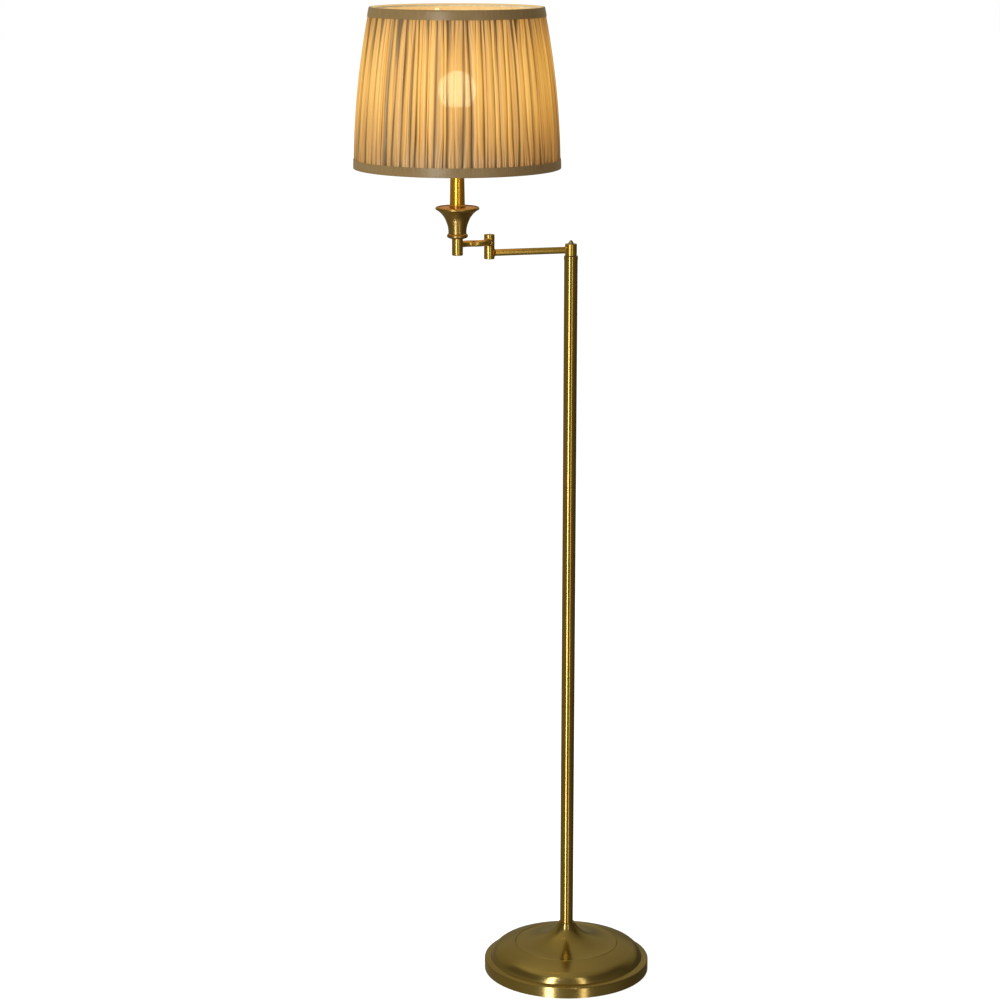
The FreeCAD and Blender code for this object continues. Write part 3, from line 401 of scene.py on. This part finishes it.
smallFinishes = {
    # painted shade: the couplers are near-black for the shade in the grooves at the pole's joints
    "groovedShadowBrass": {"scale": 300, "dark": "3a2c12", "light": "4a3818", "relief": 0.1,
                           "metal": 1.0, "rough": 0.5, "nodes": ["lower_coupler", "upper_coupler"]},
    "zincPlatedSteel": {"scale": 240, "dark": "8f9090", "light": "b4b5b3", "relief": 0.15,
                        "metal": 1.0, "rough": 0.35,
                        "nodes": ["base_washer", "base_nut", "base_stem", "base_spacer",
                                  "pole_plug", "pole_post", "pole_post_nut", "elbow_post",
                                  "elbow_nut", "head_nipple"]},
    "dullNickelPlate": {"scale": 500, "dark": "8c8880", "light": "aaa69c", "relief": 0.2,
                        "metal": 1.0, "rough": 0.3, "nodes": ["finial_nut"]},
    "blackPaintedCastIron": {"scale": 160, "dark": "161616", "light": "262524", "relief": 0.8,
                             "metal": 0.0, "rough": 0.6, "nodes": ["base_weight"]},
    "naturalNylon": {"scale": 200, "dark": "4c3d22", "light": "5c4a2a", "relief": 0.1,
                     "metal": 0.0, "rough": 0.5,
                     "nodes": ["pole_friction_washer", "elbow_friction_washer"]},
    "mouldedRubber": {"scale": 260, "dark": "0e0e0e", "light": "1c1c1c", "relief": 0.3,
                      "metal": 0.0, "rough": 0.7, "nodes": ["inlet_grommet"]},
    "mouldedThermoplastic": {"scale": 120, "dark": "e6e0d0", "light": "f2ecde", "relief": 0.05,
                             "metal": 0.0, "rough": 0.3,
                             "nodes": ["lampholder_cap", "lampholder_body", "shade_nut"]},
    "pressedContactBrass": {"scale": 200, "dark": "b89a50", "light": "d2b468", "relief": 0.1,
                            "metal": 1.0, "rough": 0.3, "nodes": ["screw_shell", "centre_contact"]},
    "ridgedKnobResin": {"scale": 200, "dark": "120f0c", "light": "1e1a16", "relief": 0.1,
                        "metal": 0.0, "rough": 0.35, "nodes": ["switch_knob"]},
    "threadedAluminium": {"scale": 300, "dark": "a0a2a4", "light": "c2c4c6", "relief": 0.2,
                          "metal": 1.0, "rough": 0.3, "nodes": ["bulb_cap"]},
    "epoxyCoatedWire": {"scale": 140, "dark": "ddd3bd", "light": "efe7d4", "relief": 0.1,
                        "metal": 0.0, "rough": 0.4,
                        "nodes": ["fitter_ring", "fitter_spokes", "shade_top_hoop",
                                  "shade_bottom_hoop"]}}
for name, look in smallFinishes.items():
    dress(plainMaterial(name, look), *look["nodes"])
print("metals and small finishes made")

# bulb: the frosted dome glows, the housing under it doesn't
bulbLook = {"domeHeight": 0.055, "edge": 0.0015, "strength": 5.2}
opalGlass, tree = newMaterial("litOpalDiffuser")
coord = addNode(tree, "ShaderNodeTexCoord")
parts = addNode(tree, "ShaderNodeSeparateXYZ", {}, {0: coord.outputs["Object"]})
domeFoot = bulbTop - bulbLook["domeHeight"]
height = addNode(tree, "ShaderNodeMapRange",
                 {"From Min": domeFoot, "From Max": domeFoot + bulbLook["edge"]},
                 {"Value": parts.outputs["Z"]})
tone = setRamp(addNode(tree, "ShaderNodeValToRGB", {}, {0: height.outputs[0]}),
               [(0.0, "1c150c"), (1.0, "ffeac4")])
shader = addNode(tree, "ShaderNodeBsdfPrincipled",
                 {"Base Color": linear("fff4e0"), "Roughness": 0.25,
                  "Emission Strength": bulbLook["strength"]},
                 {"Emission Color": tone.outputs["Color"]})
addNode(tree, "ShaderNodeOutputMaterial", {}, {"Surface": shader.outputs[0]})
dress(opalGlass, "bulb_glass")

# lining: cream laminate, smooth, with the bulb's light on it painted as a glow, and its glued seam
# at the back
lining = {"cream": "fcecc8", "glow": "f7d08c", "glowPale": "f9cf84", "seamGlow": "ffe9b8",
          "glowStrength": 0.36, "seeThrough": 0.66,
          "seamX": -0.0375, "seamHalf": 0.0034, "seamBehind": 0.05}
laminate, tree = newMaterial("creamLaminate")
coord = addNode(tree, "ShaderNodeTexCoord")
centred = addNode(tree, "ShaderNodeMapping",
                  {"Location": (-headAxis.x, -headAxis.y, -bulbCentre.z)},
                  {"Vector": coord.outputs["Object"]})
parts = addNode(tree, "ShaderNodeSeparateXYZ", {}, {0: centred.outputs[0]})
offSeam = addNode(tree, "ShaderNodeMath", {"operation": "SUBTRACT", 1: lining["seamX"]},
                  {0: parts.outputs["X"]})
offSeam = addNode(tree, "ShaderNodeMath", {"operation": "ABSOLUTE"}, {0: offSeam.outputs[0]})
onSeam = addNode(tree, "ShaderNodeMath", {"operation": "LESS_THAN", 1: lining["seamHalf"]},
                 {0: offSeam.outputs[0]})
behind = addNode(tree, "ShaderNodeMath", {"operation": "GREATER_THAN", 1: lining["seamBehind"]},
                 {0: parts.outputs["Y"]})
onSeam = addNode(tree, "ShaderNodeMath", {"operation": "MULTIPLY"},
                 {0: onSeam.outputs[0], 1: behind.outputs[0]})
fibres = addNode(tree, "ShaderNodeTexNoise", {"Scale": 90.0, "Detail": 3.0},
                 {"Vector": coord.outputs["Object"]})
paleGlow = setRamp(addNode(tree, "ShaderNodeValToRGB", {}, {0: fibres.outputs["Fac"]}),
                   [(0.3, lining["glow"]), (0.7, lining["glowPale"])])
glowTone = addNode(tree, "ShaderNodeMix", {"data_type": "RGBA", 7: linear(lining["seamGlow"])},
                   {0: onSeam.outputs[0], 6: paleGlow.outputs["Color"]})
opaque = addNode(tree, "ShaderNodeMapRange",
                 {"To Min": 1 - lining["seeThrough"], "To Max": 1.0}, {"Value": onSeam.outputs[0]})
shader = addNode(tree, "ShaderNodeBsdfPrincipled",
                 {"Base Color": linear(lining["cream"]), "Roughness": 0.45,
                  "Emission Strength": lining["glowStrength"]},
                 {"Emission Color": glowTone.outputs[2], "Alpha": opaque.outputs[0]})
addNode(tree, "ShaderNodeOutputMaterial", {}, {"Surface": shader.outputs[0]})
laminate.cycles.emission_sampling = "NONE"
dress(laminate, "shade_lining")
print("bulb and lining dressed")

def outerRadius(name, z, near=0.0002):
    # how far out the node reaches at one height
    co = coordinates(nodes[name])
    co = co[np.abs(co[:, 2] - z) < near]
    return float(np.hypot(co[:, 0] - headAxis.x, co[:, 1] - headAxis.y).max())


shade = {"topR": outerRadius("shade_top_band", shadeTop),
         "footR": outerRadius("shade_bottom_band", shadeFoot),
         "low": shadeFoot, "high": shadeTop, "bow": 0.0062, "bandT": 0.0008, "bandH": 0.015}
print("shade radii %.4f %.4f" % (shade["topR"], shade["footR"]))


def coverRadius(z):
    # the shade's outline, from the CAD bands: a straight taper with a slight bow
    t = (z - shade["low"]) / (shade["high"] - shade["low"])
    straight = shade["footR"] + (shade["topR"] - shade["footR"]) * t
    return straight - shade["bandT"] + 4 * shade["bow"] * t * (1 - t)


# gathered cover: one sheet drawn into uneven folds that are pinched under the bands
# cover shapes the sheet and cloth says how light it is; lengths are in metres, and a pair
# holds the two ends of a random draw
cover = {"folds": 104, "columns": 14, "rows": 48, "seed": 11, "flatWidth": 1.24, "edge": 0.0012,
         "leastWidth": 0.50, "widthShape": 2.2, "widthScale": 0.42, "mostExtra": 1.25,
         "drift": 0.80, "driftReach": 0.32, "lean": 0.46, "skew": (-0.5, 0.5),
         "depth": 0.0043, "leastAmount": 0.40, "depthAtBand": 0.30, "humpPower": 0.75,
         "opensOver": 0.055, "pinches": (2, 4), "pinchDepth": 0.0013, "pinchReach": 0.022,
         "pinchPower": 0.8, "underBand": 0.0012, "clearance": 0.0002}
cloth = {"brightness": (0.62, 1.0), "rightDark": 0.62, "creaseWidth": (0.05, 0.15),
         "wedgeSize": (0, 0.60), "wedgePower": 1.2, "wedgeReach": (0.010, 0.075),
         "lifeRate": (0.5, 1.6), "leastLife": 0.40, "bandReach": 0.03, "pleatTurn": 2.5,
         "backCrease": 0.55, "backCreaseWidth": 0.6, "doubled": 0.42, "doubleReach": (0.35, 1.15),
         "doubleFade": 0.35, "doubleWidth": 0.46, "doubleWiden": 0.14, "doubleEdge": 0.10,
         "bulbRise": 0.030, "bulbReach": 0.085, "sides": 0.09, "right": 0.03,
         "foot": 0.17, "footReach": 0.06, "plain": 0.72, "bulb": 0.46, "swell": 0.12,
         "atCrease": 0.62, "pleatGain": 0.13, "doubleLoss": 0.70, "creaseLoss": 0.88,
         "pinchLoss": 0.65, "creaseShade": 0.62, "pinchShade": 0.35}
rng = np.random.default_rng(cover["seed"])
foldCount, perFold, rowCount = cover["folds"], cover["columns"], cover["rows"]
columnCount = foldCount * perFold
sheetLow, sheetHigh = shade["low"] + cover["edge"], shade["high"] - cover["edge"]
deselectAll()
bpy.ops.mesh.primitive_cylinder_add(vertices=columnCount, radius=shade["footR"],
                                    depth=sheetHigh - sheetLow, end_fill_type="NOTHING",
                                    location=(0, 0, (sheetLow + sheetHigh) / 2))
gathered = bpy.context.object
gathered.name = "gathered_cover"
bpy.ops.object.transform_apply(location=True, rotation=True, scale=True)
bpy.ops.object.mode_set(mode="EDIT")
bpy.ops.mesh.select_mode(type="EDGE")
bpy.ops.mesh.select_all(action="DESELECT")
bpy.ops.object.mode_set(mode="OBJECT")
for edge in gathered.data.edges:
    a, b = (gathered.data.vertices[i].co for i in edge.vertices)
    edge.select = abs(a.z - b.z) > (sheetHigh - sheetLow) / 2  # the uprights only
bpy.ops.object.mode_set(mode="EDIT")
bpy.ops.mesh.subdivide(number_cuts=rowCount - 1)
bpy.ops.object.mode_set(mode="OBJECT")
flat = coordinates(gathered)
turn = np.mod(np.arctan2(flat[:, 1], flat[:, 0]), 2 * math.pi)
column = np.mod(np.rint(turn / (2 * math.pi) * columnCount).astype(int), columnCount)
share = (flat[:, 2] - sheetLow) / (sheetHigh - sheetLow)
fold = column // perFold
across = (column % perFold) / perFold

# one random value per fold; the order of the draws decides the look
widths = cover["leastWidth"] + np.clip(
    rng.gamma(cover["widthShape"], cover["widthScale"], foldCount), 0, cover["mostExtra"])
edges = np.concatenate([[0.0], np.cumsum(widths)]) / widths.sum() * 2 * math.pi
wander = rng.normal(0, cover["drift"], foldCount) * widths.mean()
wanderTop = rng.normal(0, cover["drift"], foldCount) * widths.mean()
amount = cover["leastAmount"] + (1 - cover["leastAmount"]) * rng.random(foldCount)
skew = rng.uniform(*cover["skew"], foldCount)
leaning = rng.uniform(-1, 1, foldCount) * cover["lean"]
pinches = rng.integers(*cover["pinches"], foldCount)
isDoubled = rng.random(foldCount) < cloth["doubled"]
brightness = rng.uniform(*cloth["brightness"], foldCount)
isDarkRight = rng.random(foldCount) < cloth["rightDark"]
creaseWidth = rng.uniform(*cloth["creaseWidth"], foldCount)
# a first row for the foot and a second for the top
wedgeSize = rng.uniform(*cloth["wedgeSize"], (2, foldCount)) ** cloth["wedgePower"]
wedgeReach = rng.uniform(*cloth["wedgeReach"], (2, foldCount))
lifeRate, lifeStart = rng.uniform(*cloth["lifeRate"], foldCount), rng.uniform(0, 1, foldCount)
# the second row isn't used, but it keeps the draws after it as they are
pleatStart = rng.uniform(0, 2 * math.pi, (2, foldCount))[0]


def foldEdge(k, t):
    # where fold k begins at height t, never crossing its neighbours
    i = np.mod(k, foldCount)
    width = np.minimum(widths[i], widths[i - 1]) / widths.sum() * 2 * math.pi
    sway = wander[i] * np.sin(math.pi * t) + wanderTop[i] * (t - 0.5)
    place = edges[i] + cover["driftReach"] * width * np.tanh(sway / widths.mean())
    return place + np.where(k >= foldCount, 2 * math.pi, 0)


start, end = foldEdge(fold, share), foldEdge(fold + 1, share)
power = 2.0 ** (skew[fold] * (1 - 0.5 * share))
local = across ** power
hump = np.sin(math.pi * local) ** cover["humpPower"]
aboveFoot = flat[:, 2] - shade["low"] - shade["bandH"]
belowTop = shade["high"] - shade["bandH"] - flat[:, 2]
fromEdge = np.minimum(aboveFoot, belowTop)
openness = np.clip(fromEdge / cover["opensOver"], 0, 1)
openness = openness * openness * (3 - 2 * openness)
pinchFade = np.exp(-np.clip(fromEdge, 0, 1) / cover["pinchReach"]) * (fromEdge > -0.002)
pinch = np.abs(np.sin(math.pi * local * pinches[fold])) ** cover["pinchPower"]
depthShare = cover["depthAtBand"] + (1 - cover["depthAtBand"]) * openness
depth = cover["depth"] * amount[fold] * depthShare
inset = depth * (1 - hump) + cover["pinchDepth"] * pinchFade * (1 - pinch)
inset = np.where(fromEdge < 0, cover["underBand"], inset)
angle = start + (end - start) * across
angle = angle + leaning[fold] * hump * (end - start) * openness
radius = np.array([coverRadius(z) for z in flat[:, 2]]) - cover["clearance"] - inset
shaped = np.stack([headAxis.x + radius * np.cos(angle), headAxis.y + radius * np.sin(angle),
                   flat[:, 2]], axis=1)
putCoordinates(gathered, shaped)

# the bulb's light through the cloth is painted as a glow: most on a fold's open face, least in its
# crease, which widens to a wedge at the bands, and where the cloth lies double along one flank
fromFoot, fromTop = np.clip(aboveFoot, 0, 1), np.clip(belowTop, 0, 1)
creaseReach = (creaseWidth[fold] + wedgeSize[0, fold] * np.exp(-fromFoot / wedgeReach[0, fold])
               + wedgeSize[1, fold] * np.exp(-fromTop / wedgeReach[1, fold]))
fromDark = np.where(isDarkRight[fold], 1 - local, local)
# a crease fades in and out along its length, but not at the bands
life = (cloth["leastLife"] + (1 - cloth["leastLife"])
        * np.sin(math.pi * (lifeRate[fold] * share + lifeStart[fold])) ** 2)
nearEdge = np.clip(np.maximum(np.exp(-fromFoot / cloth["bandReach"]),
                              np.exp(-fromTop / cloth["bandReach"])), 0, 1)
life = life + (1 - life) * nearEdge
backWidth = cloth["backCreaseWidth"] * creaseWidth[fold]
crease = np.maximum(life * np.exp(-(fromDark / creaseReach) ** 2),
                    cloth["backCrease"] * np.exp(-((1 - fromDark) / backWidth) ** 2))
# shallow pleats run between the main folds
pleat = np.sin(2 * math.pi * local * pinches[fold] + pleatStart[fold]
               + cloth["pleatTurn"] * share)
# doubled cloth runs from one band towards the other, and mostly ends before it
doubleEnd = rng.uniform(*cloth["doubleReach"], foldCount)[fold]
fromBand = np.where(rng.random(foldCount)[fold] < 0.5, share, 1 - share)
flank = cloth["doubleWidth"] + cloth["doubleWiden"] * share
double = (np.clip((doubleEnd - fromBand) / cloth["doubleFade"], 0, 1)
          * np.clip((flank - fromDark) / cloth["doubleEdge"], 0, 1) * isDoubled[fold])
# slow swells, the bulb's own painted patch of light, and painted shade: darker sides, right side
# and foot, lighter front and back
swell = rng.uniform(0, 2 * math.pi, (3, 2))
slow = sum(np.sin((3 + 4 * k) * angle + swell[k, 0]) * np.sin((2 + k) * share * 3 + swell[k, 1])
           for k in range(3)) / 3
fromBulb = flat[:, 2] - bulbCentre.z - cloth["bulbRise"]
nearBulb = np.exp(-(fromBulb / cloth["bulbReach"]) ** 2)
paintedSideAndFootShade = (cloth["sides"] * np.cos(2 * angle + math.pi) - cloth["right"] * np.cos(angle)
         - cloth["foot"] * np.exp(-(fromFoot / cloth["footReach"]) ** 2))
inPinch = pinchFade * (1 - pinch)
around = cloth["plain"] + cloth["bulb"] * nearBulb + cloth["swell"] * slow + paintedSideAndFootShade
through = brightness[fold] * (cloth["atCrease"] + (1 - cloth["atCrease"]) * hump) * around
through = through * (1 + cloth["pleatGain"] * pleat) * (1 - cloth["doubleLoss"] * double)
through = through * (1 - cloth["creaseLoss"] * crease) * (1 - cloth["pinchLoss"] * inPinch)
putAttribute(gathered, "lightThrough", through)
# painted shade: the cloth's colour is darker in its creases and pinches
putAttribute(gathered, "paintedFoldShade",
             (1 - cloth["creaseShade"] * crease) * (1 - cloth["pinchShade"] * inPinch))

loopVertex = loopVertices(gathered)
putFlat(gathered, "clothFlat", closeRound(column[loopVertex] / columnCount, 1) * cover["flatWidth"],
        flat[loopVertex, 2])
smoothShade(gathered)

# taffeta: a plain-woven shiny cloth; single cloth glows gold with the bulb's light painted in as
# emission, doubled cloth stays taupe, and creases carry painted shade
taffeta, tree = newMaterial("gatheredTaffeta")
uvNode = addNode(tree, "ShaderNodeUVMap", {"uv_map": "clothFlat"})
glowValue = addNode(tree, "ShaderNodeAttribute", {"attribute_name": "lightThrough"})
streakMap = addNode(tree, "ShaderNodeMapping", {"Scale": (650, 9, 1)},
                    {"Vector": uvNode.outputs[0]})
streaks = addNode(tree, "ShaderNodeTexNoise", {"Scale": 1.0, "Detail": 3.0, "Roughness": 0.55},
                  {"Vector": streakMap.outputs[0]})
streakGain = addNode(tree, "ShaderNodeMapRange", {"From Min": 0.3, "From Max": 0.7,
                     "To Min": 0.93, "To Max": 1.06}, {"Value": streaks.outputs["Fac"]})
glowLevel = addNode(tree, "ShaderNodeMath", {"operation": "MULTIPLY"},
                    {0: glowValue.outputs["Fac"], 1: streakGain.outputs[0]})
glowColour = setRamp(addNode(tree, "ShaderNodeValToRGB", {}, {0: glowLevel.outputs[0]}),
                     [(0.0, "1d0d01"), (0.2, "593402"), (0.4, "8b5607"),
                      (0.6, "ad751d"), (0.8, "c8902f"), (1.0, "dfa949")])
# threads are drawn 3.4 mm apart, coarser than in real taffeta, so that they show
threadRate = 1848  # radians of the thread pattern per metre
threadMap = addNode(tree, "ShaderNodeMapping", {"Scale": (threadRate, threadRate, 1)},
                    {"Vector": uvNode.outputs[0]})
threadParts = addNode(tree, "ShaderNodeSeparateXYZ", {}, {0: threadMap.outputs[0]})
warp = addNode(tree, "ShaderNodeMath", {"operation": "SINE"}, {0: threadParts.outputs["X"]})
weft = addNode(tree, "ShaderNodeMath", {"operation": "SINE"}, {0: threadParts.outputs["Y"]})
weave = addNode(tree, "ShaderNodeMath", {"operation": "MULTIPLY"},
                {0: warp.outputs[0], 1: weft.outputs[0]})
pores = addNode(tree, "ShaderNodeMapRange", {"From Min": -0.2, "From Max": 0.9,
                "To Min": 0.98, "To Max": 0.62}, {"Value": weave.outputs[0]})
single = addNode(tree, "ShaderNodeMapRange", {"From Min": 0.3, "From Max": 0.75,
                 "To Min": 1.0, "To Max": 0.0}, {"Value": glowLevel.outputs[0]})
opaque = addNode(tree, "ShaderNodeMath", {"operation": "MAXIMUM"},
                 {0: pores.outputs[0], 1: single.outputs[0]})
clothTone = setRamp(addNode(tree, "ShaderNodeValToRGB", {}, {0: streaks.outputs["Fac"]}),
                    [(0.3, "967f57"), (0.7, "b0986b")])
foldNode = addNode(tree, "ShaderNodeAttribute", {"attribute_name": "paintedFoldShade"})
clothShade = addNode(tree, "ShaderNodeVectorMath", {"operation": "SCALE"},
                     {0: clothTone.outputs["Color"], "Scale": foldNode.outputs["Fac"]})
relief = addNode(tree, "ShaderNodeBump", {"Strength": 0.25, "Distance": 0.0003},
                 {"Height": streaks.outputs["Fac"]})
shader = addNode(tree, "ShaderNodeBsdfPrincipled",
                 {"Roughness": 0.36, "Specular IOR Level": 0.5, "Sheen Weight": 0.25,
                  "Sheen Roughness": 0.4, "Sheen Tint": linear("f0dcb4"), "Emission Strength": 1.0},
                 {"Base Color": clothShade.outputs[0], "Alpha": opaque.outputs[0],
                  "Emission Color": glowColour.outputs["Color"], "Normal": relief.outputs[0]})
addNode(tree, "ShaderNodeOutputMaterial", {}, {"Surface": shader.outputs[0]})
taffeta.cycles.emission_sampling = "NONE"
gathered.data.materials.append(taffeta)
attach(gathered, "head")
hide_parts("shade_cover")
clothArea = sum(p.area for p in gathered.data.polygons)
print("gathered cover made: cloth area %.4f m2, %d faces"
      % (clothArea, len(gathered.data.polygons)))


def spun(name, points, steps):
    # a profile drawn point by point and spun about the head's axis
    deselectAll()
    bpy.ops.mesh.primitive_plane_add(size=0.001, location=(0, 0, 0))
    obj = bpy.context.object
    obj.name = name
    bpy.ops.object.mode_set(mode="EDIT")
    bpy.ops.mesh.select_mode(type="VERT")
    bpy.ops.mesh.select_all(action="SELECT")
    bpy.ops.mesh.merge(type="CENTER")
    here = Vector(points[0])
    bpy.ops.transform.translate(value=here)
    for point in points[1:]:
        there = Vector(point)
        bpy.ops.mesh.extrude_region_move(TRANSFORM_OT_translate={"value": there - here})
        here = there
    bpy.ops.mesh.select_all(action="SELECT")
    bpy.ops.mesh.spin(steps=steps, angle=2 * math.pi, center=(headAxis.x, headAxis.y, 0),
                      axis=(0, 0, 1))
    bpy.ops.mesh.select_all(action="SELECT")
    bpy.ops.mesh.remove_doubles(threshold=0.00001)
    bpy.ops.mesh.normals_make_consistent(inside=False)
    bpy.ops.object.mode_set(mode="OBJECT")
    return obj


# bands: satin ribbon folded over each edge of the shade
band = {"height": 0.0150, "outerPoints": 6, "inner": 0.0067, "turnIn": 0.0070, "steps": 240,
        "ripple": 0.00018, "bend": 0.0008, "tuck": 0.0004}


def bandProfile(edgeZ, way):
    # from the free end outside, over the edge, to the free end inside
    def at(up, inset):
        z = edgeZ + way * up
        return (headAxis.x + coverRadius(z) + shade["bandT"] - inset, headAxis.y, z)
    tall, last = band["height"] - band["bend"], band["outerPoints"] - 1
    points = [at(band["height"] - tall * k / last, band["tuck"] if k == 0 else 0.0)
              for k in range(last + 1)]
    return points + [at(0.0002, 0.0004), at(0.00005, 0.0012),
                     at(0.00005, band["inner"] - band["bend"]), at(0.0004, band["inner"]),
                     at(band["turnIn"], band["inner"] + 0.0001)]


# satin ribbon: closely woven, with a soft sheen; fine ribs run across it; the leg inside the shade
# carries a painted glow of the bulb's light, and the outside a faint one
satin, tree = newMaterial("satinRibbon")
uvNode = addNode(tree, "ShaderNodeUVMap", {"uv_map": "ribbonFlat"})
ribMap = addNode(tree, "ShaderNodeMapping", {"Scale": (900, 60, 1)}, {"Vector": uvNode.outputs[0]})
ribs = addNode(tree, "ShaderNodeTexNoise", {"Scale": 1.0, "Detail": 2.0},
               {"Vector": ribMap.outputs[0]})
ribbonTone = setRamp(addNode(tree, "ShaderNodeValToRGB", {}, {0: ribs.outputs["Fac"]}),
                     [(0.3, "7f6a47"), (0.7, "968159")])
relief = addNode(tree, "ShaderNodeBump", {"Strength": 0.3, "Distance": 0.0002},
                 {"Height": ribs.outputs["Fac"]})
innerNode = addNode(tree, "ShaderNodeAttribute", {"attribute_name": "innerLeg"})
ribbonGlow = setRamp(addNode(tree, "ShaderNodeValToRGB", {}, {0: innerNode.outputs["Fac"]}),
                     [(0.0, "301d03"), (1.0, "ceb173")])
shader = addNode(tree, "ShaderNodeBsdfPrincipled",
                 {"Roughness": 0.34, "Specular IOR Level": 0.5, "Sheen Weight": 0.2,
                  "Sheen Roughness": 0.4, "Sheen Tint": linear("efe0c0"), "Emission Strength": 1.0},
                 {"Base Color": ribbonTone.outputs["Color"], "Normal": relief.outputs[0],
                  "Emission Color": ribbonGlow.outputs["Color"]})
addNode(tree, "ShaderNodeOutputMaterial", {}, {"Surface": shader.outputs[0]})
satin.cycles.emission_sampling = "NONE"
for name, node, edgeZ, way in (("ribbon_foot", "shade_bottom_band", shade["low"], 1),
                               ("ribbon_top", "shade_top_band", shade["high"], -1)):
    ribbon = spun(name, bandProfile(edgeZ, way), band["steps"])
    co = coordinates(ribbon)
    dx, dy = co[:, 0] - headAxis.x, co[:, 1] - headAxis.y
    theta, r = np.arctan2(dy, dx), np.hypot(dx, dy)
    free = np.clip(np.abs(co[:, 2] - edgeZ) / band["height"], 0, 1)
    ripple = np.sin(theta * 83 + 1) * 0.6 + np.sin(theta * 57) * 0.4
    inward = np.array([coverRadius(z) for z in co[:, 2]]) + shade["bandT"] - r
    putAttribute(ribbon, "innerLeg", (inward - 0.0012) / 0.002)
    r = r - band["ripple"] * free * (0.5 + 0.5 * ripple)
    co[:, 0], co[:, 1] = headAxis.x + r * np.cos(theta), headAxis.y + r * np.sin(theta)
    putCoordinates(ribbon, co)
    loopVertex = loopVertices(ribbon)
    around = closeRound(np.mod(theta, 2 * math.pi)[loopVertex], 2 * math.pi)
    putFlat(ribbon, "ribbonFlat", around * shade["footR"], co[loopVertex, 2])
    smoothShade(ribbon)
    ribbon.data.materials.append(satin)
    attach(ribbon, "head")
    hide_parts(node)
print("ribbons made")

# felt pad under the base
pad = {"inset": 0.0002, "pressed": 0.0003, "round": 0.0008, "corners": 180,
       "look": {"scale": 900, "dark": "101010", "light": "242322", "relief": 1.0,
                "metal": 0.0, "rough": 0.95}}
padLow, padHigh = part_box("base_pad")
deselectAll()
bpy.ops.mesh.primitive_cylinder_add(vertices=pad["corners"],
                                    radius=(padHigh.x - padLow.x) / 2 - pad["inset"],
                                    depth=padHigh.z - padLow.z - pad["pressed"],
                                    location=(0, 0, (padHigh.z + padLow.z) / 2))
felt = bpy.context.object
felt.name = "felt_pad"
bevel = felt.modifiers.new("round", "BEVEL")
bevel.width = pad["round"]
bevel.segments = 2
applyAll(felt)
felt.data.materials.append(plainMaterial("pressedFelt", pad["look"]))
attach(felt, "stand")
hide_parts("base_pad")
print("felt pad made")

bpy.context.scene.view_settings.view_transform = "Standard"
